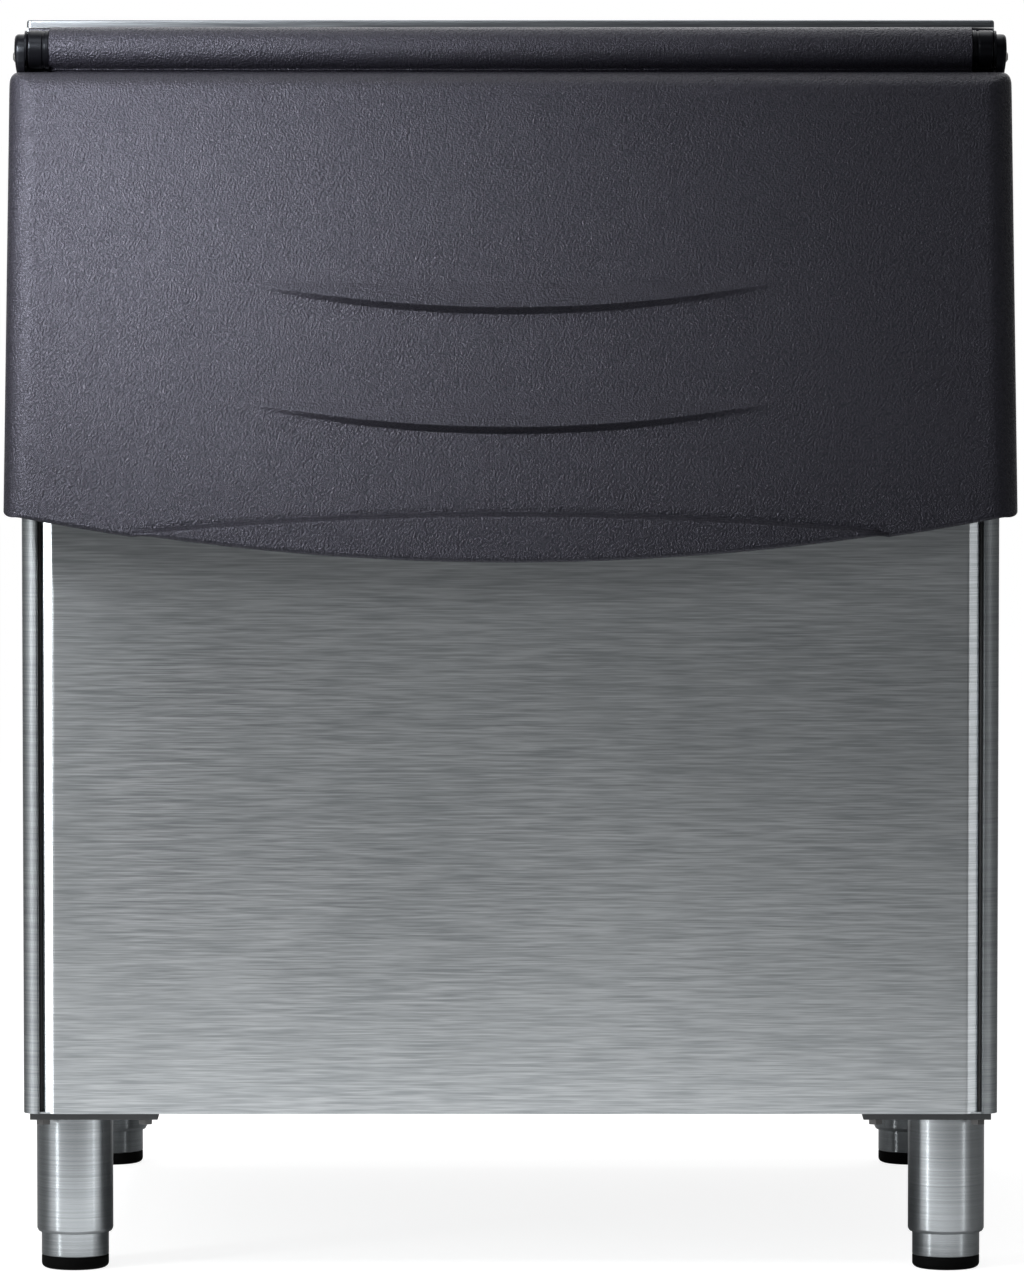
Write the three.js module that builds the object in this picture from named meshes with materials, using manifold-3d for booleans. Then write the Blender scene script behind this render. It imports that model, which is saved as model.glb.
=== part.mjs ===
// An insulated ice storage bin on four adjustable legs, with a sloping lift-up door.
// Millimetres. X runs to the right, Y from front to back and Z up from the floor.
// The pieces are placed with the front panel's face at y = 0; the last lines centre the bin.
import * as THREE from 'three';
import { mergeVertices } from 'three/addons/utils/BufferGeometryUtils.js';
import Module from 'manifold-3d';

const wasm = await Module();
wasm.setup();

// Cabinet
const CABINET_WIDTH = 762;
const CABINET_DEPTH = 740;
const OVERALL_HEIGHT = 980;
const LEG_HEIGHT = 127;
const SHEET = 1.2;
const FOAM_WALL = 42;
const SEAT_GAP = 0.3;
const OVERRUN = 5;
const MERGE_TOLERANCE = 1e-4;

// Side panels wrap the front corners; the front panel sits between them with rounded edges
const CORNER_RADIUS = 12.5;
const CORNER_RETURN = 18;
const REAR_RETURN = 14;
const SEAM_WIDTH = 3;
const FRONT_EDGE_RADIUS = 9.5;
const PAN_LIP = 22;
const DECK_EDGE = 6;
const DECK_LIP = 12;
const DROP_FRONT_MARGIN = 78;
const DROP_BACK_MARGIN = 70;
const DROP_CORNER = 24;

// Sloping front and the door's hinge line
const DOOR_SLOPE = THREE.MathUtils.degToRad(17.5);
const HINGE_SETBACK = 93.5;
const HINGE_DROP = 23;
const ROLL_RADIUS = 17.5;
const ROLL_CLEARANCE = 1;
const FRAME_RECESS = 14;
const FRAME_WALL = 3;
const MOUTH_TOP = 45;
const MOUTH_SIDE_MARGIN = 66;
const MOUTH_LEDGE = 24;
const MOUTH_CORNER = 26;

// Bin liner and drain
const LINER_WALL = 3.5;
const LINER_CORNER = 42;
const DRAIN_SETBACK = 120;
const DRAIN_BORE_RADIUS = 10;
const DRAIN_WALL = 3;
const DRAIN_FLANGE_RADIUS = 26;
const DRAIN_FLANGE = 3;
const DRAIN_REACH = 24;
const DRAIN_NUT_RADIUS = 21;
const DRAIN_NUT = 9;
const STRAINER_RADIUS = 18;
const STRAINER_HEIGHT = 9;
const STRAINER_WALL = 1.6;
const STRAINER_SLOTS = 6;
const STRAINER_SLOT = 5;

// Door, in its own frame: down the face and outward from the hinge axis
const DOOR_OVERHANG = 11.5;
const DOOR_FACE_OUT = 37;
const DOOR_BACK = 8;
const DOOR_WALL = 3;
const DOOR_END_DOWN = 385.5;
const DOOR_ARC_RISE = 38;
const DOOR_SIDE_RADIUS = 22;
const DOOR_EDGE_RADIUS = 5;
const DOOR_TOE_RADIUS = 10;
const SHOULDER_DOWN = 27;
const SHOULDER_HEIGHT = 19;
const SHOULDER_OUT = 8;
const SHOULDER_CORNER_RADIUS = 11;
const VALLEY_FILLET = 5;
const VALLEY_OUT = 5;
const FLANGE_TOP = 46;
const FLANGE_REACH = 12;
const INNER_PANEL = 3;
const GASKET_WIDTH = 12;
const GASKET_MARGIN = 6;

// Raised forms on the door's face
const CRESCENT_TOPS = [201, 297];
const CRESCENT_HALF_LENGTH = 208;
const CRESCENT_HEIGHT = 24;
const CRESCENT_OUT = 6;
const HANDLE_HALF_LENGTH = 287;
const HANDLE_HEIGHT = 41;
const HANDLE_END_HEIGHT = 12;
const HANDLE_OUT = 12;
const HANDLE_BEVEL = 4;

// Hinge
const COLLAR_RADIUS = 15;
const COLLAR_WIDTH = 17;
const COLLAR_SIDE_GAP = 0.8;
const PLUG_LENGTH = 22;
const ROLL_WALL = 3.5;
const PIN_RADIUS = 5;
const PIN_RUNNING_GAP = 0.4;
const BRACKET_THICKNESS = 8.5;
const BRACKET_FRONT = 14;
const BRACKET_REACH = 62;
const BRACKET_ABOVE = 12;
const BRACKET_BELOW = 23.5;
const BRACKET_CORNER = 10;
const BRACKET_BEVEL = 2.5;
const BRACKET_SKIN = 1.8;
const SCREW_RADIUS = 2.4;
const SCREW_HEAD_RADIUS = 5;
const SCREW_HEAD = 3;
const SCREW_LENGTH = 18;
const SCREW_OFFSETS = [30, 50];

// Legs and adjustable feet
const LEG_SIDE_INSET = 38;
const LEG_END_INSET = 50;
const PLATE_SIDE_MARGIN = 5;
const PLATE_SIZE = 100;
const PLATE_THICKNESS = 5;
const PLATE_CHAMFER = 12;
const BOLT_INSET = 10;
const BOLT_RADIUS = 3;
const BOLT_HEAD_RADIUS = 5.8;
const BOLT_HEAD = 4;
const TUBE_RADIUS = 30;
const TUBE_WALL = 2;
const TUBE_CHAMFER = 3;
const TUBE_WEB = 12;
const SLEEVE_RADIUS = 26.5;
const SLEEVE_SHOWN = 19;
const SLEEVE_WALL = 2.5;
const STUD_RADIUS = 8;
const STUD_ABOVE_WEB = 30;
const FOOT_RAISE = 10;
const FOOT_END_GAP = 2;
const PAD_HEIGHT = 10;
const PAD_ROUND = 4;

// Counts
const ROUND_SIDES = 20;
const PIN_SIDES = 16;
const BOLT_SIDES = 6;
const SCREW_SIDES = 12;
const ROLL_SIDES = 32;
const CORNER_STEPS = 4;
const ARC_STEPS = 24;

// Values worked out from the sizes above
const HALF_WIDTH = CABINET_WIDTH / 2;
const HINGE_HEIGHT = OVERALL_HEIGHT - HINGE_DROP;
const DECK_UNDERSIDE = OVERALL_HEIGHT - DECK_EDGE;
const DECK_FRONT = HINGE_SETBACK + ROLL_RADIUS + ROLL_CLEARANCE;
const INNER_HALF_WIDTH = HALF_WIDTH - SHEET - SEAT_GAP;
const BACK_FACE = CABINET_DEPTH - SHEET - SEAT_GAP;
const INNER_BACK = BACK_FACE - SHEET - SEAT_GAP;
const INNER_FRONT = SHEET + SEAT_GAP;
const PAN_TOP = LEG_HEIGHT + SHEET;
const FRAME_BACK = FRAME_RECESS + FRAME_WALL;
const LINER_OUT = FRAME_BACK + SEAT_GAP + FOAM_WALL;
const LINER_HALF_WIDTH = INNER_HALF_WIDTH - FOAM_WALL;
const LINER_FRONT = INNER_FRONT + FOAM_WALL;
const LINER_BACK = INNER_BACK - FOAM_WALL;
const LINER_BOTTOM = PAN_TOP + SEAT_GAP + FOAM_WALL;
const LINER_TOP = DECK_UNDERSIDE - SEAT_GAP;
const LINER_FLANGE_UNDERSIDE = LINER_TOP - LINER_WALL;
const MOUTH_HALF_WIDTH = HALF_WIDTH - MOUTH_SIDE_MARGIN;
const LINER_SLANT_END = slopeDown(-LINER_OUT, LINER_FRONT);
const MOUTH_BOTTOM = LINER_SLANT_END - MOUTH_LEDGE;
const FRAME_END = slopeDown(-FRAME_RECESS, INNER_FRONT);
const DRAIN_Y = LINER_BACK - DRAIN_SETBACK;
const DOOR_HALF_WIDTH = HALF_WIDTH + DOOR_OVERHANG;
const COLLAR_OUTER = HALF_WIDTH - SHEET - COLLAR_SIDE_GAP;
const ROLL_HALF_LENGTH = COLLAR_OUTER - COLLAR_WIDTH;
const BRACKET_INNER = HALF_WIDTH + SEAT_GAP;
const TUBE_BOTTOM = PAD_HEIGHT + SLEEVE_SHOWN;
const PLATE_TOP = LEG_HEIGHT - SEAT_GAP;
const PLATE_BOTTOM = PLATE_TOP - PLATE_THICKNESS;
const TUBE_TOP = PLATE_BOTTOM - SEAT_GAP;
const STUD_TOP = TUBE_TOP - TUBE_WALL - FOOT_END_GAP - FOOT_RAISE;
const WEB_BOTTOM = STUD_TOP - STUD_ABOVE_WEB - TUBE_WEB;
const SLEEVE_TOP = WEB_BOTTOM - FOOT_END_GAP - FOOT_RAISE;

// Colours as they look on the object
const brushedSteel = finish('brushed_stainless', 0xa9abac, 0.35, 0.9);
const galvanisedSteel = finish('galvanised_steel', 0x9aa0a3, 0.55, 0.8);
const doorBlack = finish('textured_black_plastic', 0x2c2b33, 0.6, 0);
const hingeBlack = finish('glossy_black_plastic', 0x0c0c0e, 0.2, 0);
const linerWhite = finish('white_liner_plastic', 0xe9ecee, 0.4, 0);
const foamYellow = finish('insulating_foam', 0xd9c98a, 0.95, 0);
const gasketGrey = finish('gasket_rubber', 0x3a3a3d, 0.8, 0);
const padBlack = finish('foot_pad_rubber', 0x101012, 0.7, 0);
const zincSteel = finish('zinc_fastener', 0xb9bcc0, 0.35, 0.9);

function finish(name, color, roughness, metalness) {
  const material = new THREE.MeshStandardMaterial({ color, roughness, metalness });
  material.name = name;
  return material;
}

// Outline helpers: lists of [a, b] points

function arcPoints(centre, radiusA, radiusB, fromDegrees, toDegrees, steps) {
  const points = [];
  for (let i = 0; i <= steps; i++) {
    const angle = THREE.MathUtils.degToRad(fromDegrees + ((toDegrees - fromDegrees) * i) / steps);
    points.push([centre[0] + radiusA * Math.cos(angle), centre[1] + radiusB * Math.sin(angle)]);
  }
  return points;
}

function roundedRectangle(a0, a1, b0, b1, radius) {
  const corner = (a, b, from) => arcPoints([a, b], radius, radius, from, from + 90, CORNER_STEPS);
  return [
    ...corner(a1 - radius, b1 - radius, 0),
    ...corner(a0 + radius, b1 - radius, 90),
    ...corner(a0 + radius, b0 + radius, 180),
    ...corner(a1 - radius, b0 + radius, 270),
  ];
}

function rectangle(a0, a1, b0, b1) {
  return [[a0, b0], [a1, b0], [a1, b1], [a0, b1]];
}

// Shifts each point of a path sideways by a distance, keeping the corners mitred.
// A positive distance goes to the left of the direction of travel.
function offsetPath(points, distance, closed) {
  const count = points.length;
  const normal = (from, to) => {
    const length = Math.hypot(to[0] - from[0], to[1] - from[1]);
    return [-(to[1] - from[1]) / length, (to[0] - from[0]) / length];
  };
  return points.map((point, i) => {
    const before = closed || i > 0 ? points[(i + count - 1) % count] : null;
    const after = closed || i < count - 1 ? points[(i + 1) % count] : null;
    const first = before ? normal(before, point) : normal(point, after);
    const second = after ? normal(point, after) : first;
    const along = 1 + first[0] * second[0] + first[1] * second[1];
    return [
      point[0] + (distance * (first[0] + second[0])) / along,
      point[1] + (distance * (first[1] + second[1])) / along,
    ];
  });
}

function sheetOutline(path, thickness) {
  return [...path, ...offsetPath(path, thickness, false).reverse()];
}

// Solid helpers

function signedVolume(positions, index) {
  let volume = 0;
  const [a, b, c] = [new THREE.Vector3(), new THREE.Vector3(), new THREE.Vector3()];
  for (let i = 0; i < index.length; i += 3) {
    a.fromBufferAttribute(positions, index[i]);
    b.fromBufferAttribute(positions, index[i + 1]);
    c.fromBufferAttribute(positions, index[i + 2]);
    volume += a.dot(b.cross(c));
  }
  return volume;
}

// Merges shared vertices, drops faces that shrink to a line on a lathe's axis
// and turns every face outward, so that the geometry is one closed solid.
function closedSolid(source) {
  const geometry = source.clone();
  geometry.deleteAttribute('normal');
  geometry.deleteAttribute('uv');
  const merged = mergeVertices(geometry, MERGE_TOLERANCE);
  const faces = [];
  for (let i = 0; i < merged.index.count; i += 3) {
    const [a, b, c] = [merged.index.getX(i), merged.index.getX(i + 1), merged.index.getX(i + 2)];
    if (a !== b && b !== c && c !== a) faces.push(a, b, c);
  }
  if (signedVolume(merged.attributes.position, faces) < 0) faces.reverse();
  const mesh = new wasm.Mesh({
    numProp: 3,
    vertProperties: new Float32Array(merged.attributes.position.array),
    triVerts: new Uint32Array(faces),
  });
  return new wasm.Manifold(mesh);
}

function solidGeometry(solid) {
  const mesh = solid.getMesh();
  const geometry = new THREE.BufferGeometry();
  geometry.setAttribute('position', new THREE.BufferAttribute(mesh.vertProperties, 3));
  geometry.setIndex(new THREE.BufferAttribute(mesh.triVerts, 1));
  geometry.computeVertexNormals();
  return geometry;
}

// Ways to lay an outline and its depth on the X, Y and Z axes
const alongX = (y, z, x) => [x, y, z];
const alongY = (x, z, y) => [x, y, z];
const alongZ = (x, y, z) => [x, y, z];
const doorSide = (out, down, x) => [x, -out, -down];
const doorFace = (x, down, out) => [x, -out, -down];
const doorPlan = (x, out, down) => [x, -out, -down];

function prism(outline, from, to, lay, bevel = 0) {
  const shape = new THREE.Shape(outline.map(([a, b]) => new THREE.Vector2(a, b)));
  const geometry = new THREE.ExtrudeGeometry(shape, {
    depth: to - from - 2 * bevel,
    bevelEnabled: bevel > 0,
    bevelSize: bevel,
    bevelThickness: bevel,
    bevelOffset: -bevel,
    bevelSegments: 2,
  });
  const positions = geometry.attributes.position;
  for (let i = 0; i < positions.count; i++) {
    const depth = positions.getZ(i) + from + bevel;
    positions.setXYZ(i, ...lay(positions.getX(i), positions.getY(i), depth));
  }
  return geometry;
}

function box(x0, x1, y0, y1, z0, z1) {
  return prism(rectangle(x0, x1, y0, y1), z0, z1, alongZ);
}

function turned(profile, sides) {
  const geometry = new THREE.LatheGeometry(profile.map(([r, z]) => new THREE.Vector2(r, z)), sides);
  geometry.rotateX(Math.PI / 2);
  return geometry;
}

function rod(radius, from, to, sides) {
  return turned([[0, from], [radius, from], [radius, to], [0, to]], sides);
}

function rodAlongX(radius, from, to, sides) {
  return rod(radius, from, to, sides).rotateY(Math.PI / 2);
}

function cut(solid, ...tools) {
  return tools.reduce((rest, tool) => rest.subtract(tool), solid);
}

function join(...solids) {
  return solids.reduce((all, next) => all.add(next));
}

function common(...solids) {
  return solids.reduce((all, next) => all.intersect(next));
}

// The sloping frame that the door and its opening share: its origin is on the hinge axis
const slope = new THREE.Matrix4()
  .makeTranslation(0, HINGE_SETBACK, HINGE_HEIGHT)
  .multiply(new THREE.Matrix4().makeRotationX(-DOOR_SLOPE));

function onSlope(geometry) {
  return closedSolid(geometry.clone().applyMatrix4(slope));
}

// Everything further out than a plane parallel to the sloping front
function beyondSlope(out) {
  const reach = OVERALL_HEIGHT + CABINET_DEPTH;
  return onSlope(prism(rectangle(-reach, reach, -reach, reach), out, reach, doorFace));
}

// The y of a plane parallel to the sloping front, at a height
function slopeY(out, height) {
  const down = (HINGE_HEIGHT + out * Math.sin(DOOR_SLOPE) - height) / Math.cos(DOOR_SLOPE);
  return HINGE_SETBACK - down * Math.sin(DOOR_SLOPE) - out * Math.cos(DOOR_SLOPE);
}

// How far down the slope such a plane reaches a y
function slopeDown(out, y) {
  return (HINGE_SETBACK - out * Math.cos(DOOR_SLOPE) - y) / Math.sin(DOOR_SLOPE);
}

function slopeZ(out, y) {
  return HINGE_HEIGHT - slopeDown(out, y) * Math.cos(DOOR_SLOPE) + out * Math.sin(DOOR_SLOPE);
}

function hingeRod(radius, from, to, sides) {
  return closedSolid(rodAlongX(radius, from, to, sides).translate(0, HINGE_SETBACK, HINGE_HEIGHT));
}

// The scene: fixed pieces in one group, the door in a group on its hinge axis
const cabinet = new THREE.Group();
const door = new THREE.Group();
door.position.set(0, HINGE_SETBACK, HINGE_HEIGHT);
door.rotation.x = -DOOR_SLOPE;

function place(parent, name, solid, material) {
  const mesh = new THREE.Mesh(solidGeometry(solid), material);
  mesh.name = name;
  parent.add(mesh);
}

function mirrored(geometry) {
  const copy = geometry.clone();
  copy.scale(-1, 1, 1);
  return copy;
}

// side is -1 on the left and 1 on the right
function onSide(geometry, side) {
  return closedSolid(side > 0 ? geometry : mirrored(geometry));
}

// Cabinet skins

function frontPanel() {
  const edge = HALF_WIDTH - CORNER_RADIUS - SEAM_WIDTH;
  const r = FRONT_EDGE_RADIUS;
  const path = [
    [edge, CORNER_RETURN],
    ...arcPoints([edge - r, r], r, r, 0, -90, CORNER_STEPS),
    ...arcPoints([-edge + r, r], r, r, -90, -180, CORNER_STEPS),
    [-edge, CORNER_RETURN],
  ];
  const outline = sheetOutline(path, -SHEET);
  const skin = closedSolid(prism(outline, LEG_HEIGHT, OVERALL_HEIGHT, alongZ));
  return cut(skin, beyondSlope(-FRAME_RECESS), frameSeat(), panSeat());
}

// Where the bent-back edges of the skins make room for the opening frame and the base pan
function frameSeat() {
  return common(innerBlock(SEAT_GAP / 2, LEG_HEIGHT, LINER_TOP), beyondSlope(-FRAME_BACK - SEAT_GAP));
}

function panSeat() {
  return innerBlock(SEAT_GAP / 2, LEG_HEIGHT - OVERRUN, PAN_TOP + SEAT_GAP);
}

// The bent sheet of the right-hand side, seen from above
function sideOutline() {
  const r = CORNER_RADIUS;
  const path = [
    [HALF_WIDTH - REAR_RETURN, CABINET_DEPTH],
    [HALF_WIDTH, CABINET_DEPTH],
    ...arcPoints([HALF_WIDTH - r, r], r, r, 0, -90, CORNER_STEPS),
    [HALF_WIDTH - r, CORNER_RETURN],
  ];
  return sheetOutline(path, -SHEET);
}

function sidePanel(side) {
  const skin = onSide(prism(sideOutline(), LEG_HEIGHT, LINER_TOP, alongZ), side);
  return cut(
    skin, beyondSlope(-FRAME_RECESS), frameSeat(), panSeat(), pinHole(side), ...screwHoles(side),
  );
}

function backPanel() {
  return closedSolid(box(
    -INNER_HALF_WIDTH, INNER_HALF_WIDTH, BACK_FACE - SHEET, BACK_FACE, LEG_HEIGHT, LINER_TOP,
  ));
}

function basePan() {
  const half = INNER_HALF_WIDTH - CORNER_RETURN;
  const [front, back] = [CORNER_RETURN + SEAT_GAP, INNER_BACK];
  const floor = innerBlock(0, LEG_HEIGHT, PAN_TOP);
  const lips = closedSolid(box(-half, half, front, back, LEG_HEIGHT, LEG_HEIGHT + PAN_LIP));
  const inside = closedSolid(box(
    -half + SHEET, half - SHEET, front + SHEET, back - SHEET, PAN_TOP, LEG_HEIGHT + PAN_LIP + OVERRUN,
  ));
  return cut(join(floor, lips), inside, drainHole(DRAIN_BORE_RADIUS + DRAIN_WALL), ...boltHoles());
}

function topFrame() {
  const outer = rectangle(-HALF_WIDTH, HALF_WIDTH, DECK_FRONT, CABINET_DEPTH);
  const hollow = rectangle(
    -HALF_WIDTH + SHEET, HALF_WIDTH - SHEET, DECK_FRONT + SHEET, CABINET_DEPTH - SHEET,
  );
  const drop = dropOutline(0);
  const lip = dropOutline(SHEET);
  const plate = closedSolid(prism(outer, DECK_UNDERSIDE, OVERALL_HEIGHT, alongZ));
  const underside = closedSolid(prism(hollow, DECK_UNDERSIDE - OVERRUN, OVERALL_HEIGHT - SHEET, alongZ));
  const rim = closedSolid(prism(lip, OVERALL_HEIGHT - DECK_LIP, OVERALL_HEIGHT, alongZ));
  const opening = closedSolid(prism(
    drop, OVERALL_HEIGHT - DECK_LIP - OVERRUN, OVERALL_HEIGHT + OVERRUN, alongZ,
  ));
  return cut(join(cut(plate, underside), rim), opening);
}

// The hole in the deck that the ice drops through, grown by an amount
function dropOutline(grown) {
  const half = LINER_HALF_WIDTH - LINER_WALL - SHEET - SEAT_GAP;
  return roundedRectangle(
    -half - grown, half + grown,
    DECK_FRONT + DROP_FRONT_MARGIN - grown, CABINET_DEPTH - DROP_BACK_MARGIN + grown,
    DROP_CORNER + grown,
  );
}

// Liner, frame and insulation

// The tub's form, drawn in from its outer surface by an inset, up to a height
function tub(inset, top) {
  const out = -LINER_OUT - inset;
  const [front, back, bottom] = [LINER_FRONT + inset, LINER_BACK - inset, LINER_BOTTOM + inset];
  const r = LINER_CORNER - inset;
  const side = [
    ...arcPoints([front + r, bottom + r], r, r, 180, 270, CORNER_STEPS),
    ...arcPoints([back - r, bottom + r], r, r, 270, 360, CORNER_STEPS),
    [back, top],
    [slopeY(out, top), top],
    [front, slopeZ(out, front)],
  ];
  const half = LINER_HALF_WIDTH - inset;
  const plan = roundedRectangle(-half, half, front, back, r);
  return common(
    closedSolid(prism(side, -half, half, alongX)),
    closedSolid(prism(plan, bottom, top, alongZ)),
  );
}

function mouthBlock(grown, out, inward) {
  const outline = roundedRectangle(
    -MOUTH_HALF_WIDTH - grown, MOUTH_HALF_WIDTH + grown, MOUTH_TOP - grown, MOUTH_BOTTOM + grown,
    MOUTH_CORNER + grown,
  );
  return onSlope(prism(outline, inward, out, doorFace));
}

function linerFlange() {
  const outer = box(
    -INNER_HALF_WIDTH, INNER_HALF_WIDTH, INNER_FRONT, INNER_BACK, LINER_FLANGE_UNDERSIDE, LINER_TOP,
  );
  return cut(closedSolid(outer), beyondSlope(-FRAME_BACK - SEAT_GAP));
}

function binLiner() {
  const body = join(tub(0, LINER_TOP), linerFlange());
  const inside = tub(LINER_WALL, LINER_TOP + OVERRUN);
  const mouth = mouthBlock(FRAME_WALL + SEAT_GAP, -LINER_OUT + OVERRUN, -LINER_OUT - LINER_WALL - OVERRUN);
  return cut(body, inside, mouth, drainHole(DRAIN_BORE_RADIUS + DRAIN_WALL), rollChannel(SEAT_GAP));
}

// The trough behind the door's roll, grown by an amount
function rollChannel(grown) {
  const radius = ROLL_RADIUS + ROLL_CLEARANCE + FRAME_WALL + grown;
  return hingeRod(radius, -INNER_HALF_WIDTH - OVERRUN, INNER_HALF_WIDTH + OVERRUN, ROLL_SIDES);
}

function openingFrame() {
  const top = -(ROLL_RADIUS + ROLL_CLEARANCE + FRAME_WALL);
  const plate = onSlope(prism(
    rectangle(-INNER_HALF_WIDTH, INNER_HALF_WIDTH, top, FRAME_END), -FRAME_BACK, -FRAME_RECESS, doorFace,
  ));
  const trough = common(
    hingeRod(ROLL_RADIUS + ROLL_CLEARANCE + FRAME_WALL, -INNER_HALF_WIDTH, INNER_HALF_WIDTH, ROLL_SIDES),
    cut(innerBlock(0, LEG_HEIGHT, LINER_TOP), beyondSlope(-FRAME_RECESS)),
  );
  const throat = mouthBlock(FRAME_WALL, -FRAME_RECESS, -LINER_OUT - LINER_WALL);
  const mouth = mouthBlock(0, OVERRUN, -LINER_OUT - LINER_WALL - OVERRUN);
  const groove = hingeRod(
    ROLL_RADIUS + ROLL_CLEARANCE, -INNER_HALF_WIDTH - OVERRUN, INNER_HALF_WIDTH + OVERRUN, ROLL_SIDES,
  );
  return common(cut(join(plate, trough, throat), mouth, groove), innerBlock(0, LEG_HEIGHT, LINER_TOP));
}

// The room inside the skins between two heights, grown sideways by an amount
function innerBlock(grown, bottom, top) {
  const half = INNER_HALF_WIDTH + grown;
  const front = INNER_FRONT - grown;
  const r = CORNER_RADIUS - SHEET - SEAT_GAP + grown;
  return closedSolid(prism(roundedFront(half, front, INNER_BACK, r), bottom, top, alongZ));
}

// A plan outline with its two front corners rounded
function roundedFront(half, front, back, r) {
  return [
    ...arcPoints([half - r, front + r], r, r, 0, -90, CORNER_STEPS),
    ...arcPoints([-half + r, front + r], r, r, -90, -180, CORNER_STEPS),
    [-half, back],
    [half, back],
  ];
}

function foamInsulation() {
  const block = closedSolid(box(
    -INNER_HALF_WIDTH, INNER_HALF_WIDTH, CORNER_RETURN + SEAT_GAP, INNER_BACK,
    LEG_HEIGHT + PAN_LIP + SEAT_GAP, LINER_FLANGE_UNDERSIDE - SEAT_GAP,
  ));
  const half = HALF_WIDTH - CORNER_RADIUS - SEAM_WIDTH - SHEET - SEAT_GAP;
  const noseOutline = roundedFront(
    half, INNER_FRONT, CORNER_RETURN + FOAM_WALL / 2, FRONT_EDGE_RADIUS - SHEET - SEAT_GAP,
  );
  const nose = closedSolid(prism(noseOutline, LEG_HEIGHT + PAN_LIP + SEAT_GAP, DECK_UNDERSIDE, alongZ));
  const footHalf = INNER_HALF_WIDTH - CORNER_RETURN - SHEET - SEAT_GAP;
  const foot = closedSolid(box(
    -footHalf, footHalf, CORNER_RETURN + SHEET + 2 * SEAT_GAP, INNER_BACK - SHEET - SEAT_GAP,
    PAN_TOP + SEAT_GAP, LEG_HEIGHT + PAN_LIP + 2 * SEAT_GAP,
  ));
  return cut(
    join(block, nose, foot),
    beyondSlope(-FRAME_BACK - SEAT_GAP),
    tub(-SEAT_GAP, LINER_TOP + OVERRUN),
    mouthBlock(FRAME_WALL + SEAT_GAP, OVERRUN, -LINER_OUT - LINER_WALL - OVERRUN),
    rollChannel(SEAT_GAP),
    drainHole(DRAIN_BORE_RADIUS + DRAIN_WALL),
    ...screwHoles(-1),
    ...screwHoles(1),
    pinHole(-1),
    pinHole(1),
  );
}

// Drain

function drainHole(radius) {
  return closedSolid(rod(
    radius + SEAT_GAP, LEG_HEIGHT - OVERRUN, LINER_BOTTOM + LINER_WALL + OVERRUN, ROUND_SIDES,
  ).translate(0, DRAIN_Y, 0));
}

function drainSpigot() {
  const floor = LINER_BOTTOM + LINER_WALL + SEAT_GAP;
  const outer = DRAIN_BORE_RADIUS + DRAIN_WALL;
  const profile = [
    [DRAIN_BORE_RADIUS, LEG_HEIGHT - DRAIN_REACH],
    [outer, LEG_HEIGHT - DRAIN_REACH],
    [outer, floor],
    [DRAIN_FLANGE_RADIUS, floor],
    [DRAIN_FLANGE_RADIUS, floor + DRAIN_FLANGE],
    [DRAIN_BORE_RADIUS, floor + DRAIN_FLANGE],
    [DRAIN_BORE_RADIUS, LEG_HEIGHT - DRAIN_REACH],
  ];
  return closedSolid(turned(profile, ROUND_SIDES).translate(0, DRAIN_Y, 0));
}

function drainNut() {
  const bore = DRAIN_BORE_RADIUS + DRAIN_WALL + SEAT_GAP;
  const top = LEG_HEIGHT - SEAT_GAP;
  const nut = rod(DRAIN_NUT_RADIUS, top - DRAIN_NUT, top, BOLT_SIDES);
  const hole = rod(bore, top - DRAIN_NUT - OVERRUN, top + OVERRUN, ROUND_SIDES);
  return cut(closedSolid(nut.translate(0, DRAIN_Y, 0)), closedSolid(hole.translate(0, DRAIN_Y, 0)));
}

function drainStrainer() {
  const floor = LINER_BOTTOM + LINER_WALL + 2 * SEAT_GAP + DRAIN_FLANGE;
  const [r, h, t] = [STRAINER_RADIUS, STRAINER_HEIGHT, STRAINER_WALL];
  const profile = [
    [r, floor], [r, floor + h - t], [r - t, floor + h], [0, floor + h], [0, floor + h - t],
    [r - t, floor + h - t], [r - t, floor], [r, floor],
  ];
  const cap = closedSolid(turned(profile, ROUND_SIDES).translate(0, DRAIN_Y, 0));
  const slots = [];
  for (let i = 0; i < STRAINER_SLOTS; i++) {
    const slot = box(
      STRAINER_SLOT, STRAINER_RADIUS + OVERRUN, -STRAINER_SLOT / 2, STRAINER_SLOT / 2,
      floor + STRAINER_WALL, floor + STRAINER_HEIGHT + OVERRUN,
    );
    slots.push(closedSolid(slot.rotateZ((2 * Math.PI * i) / STRAINER_SLOTS).translate(0, DRAIN_Y, 0)));
  }
  return cut(cap, ...slots);
}

// Door

// How far down the door's curved bottom edge lies at a distance from the middle
function bottomDown(x) {
  const radius = (DOOR_HALF_WIDTH ** 2 + DOOR_ARC_RISE ** 2) / (2 * DOOR_ARC_RISE);
  return DOOR_END_DOWN + DOOR_ARC_RISE - radius + Math.sqrt(radius ** 2 - x ** 2);
}

// The door's front outline, from its shoulders down to the curved bottom edge
function doorOutline() {
  const r = SHOULDER_CORNER_RADIUS;
  const toe = DOOR_TOE_RADIUS;
  const half = [];
  const reach = DOOR_HALF_WIDTH - toe;
  for (let i = 0; i <= ARC_STEPS / 2; i++) {
    const x = (reach * 2 * i) / ARC_STEPS;
    half.push([x, bottomDown(x)]);
  }
  const toeDown = half[half.length - 1][1] - toe;
  const toeStart = 90 - 90 / CORNER_STEPS;
  half.push(...arcPoints([reach, toeDown], toe, toe, toeStart, 0, CORNER_STEPS - 1));
  half.push(...arcPoints([DOOR_HALF_WIDTH - r, SHOULDER_DOWN + r], r, r, 0, -90, CORNER_STEPS));
  const left = half.slice(1).reverse().map(([x, down]) => [-x, down]);
  return [...left, ...half];
}

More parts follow.
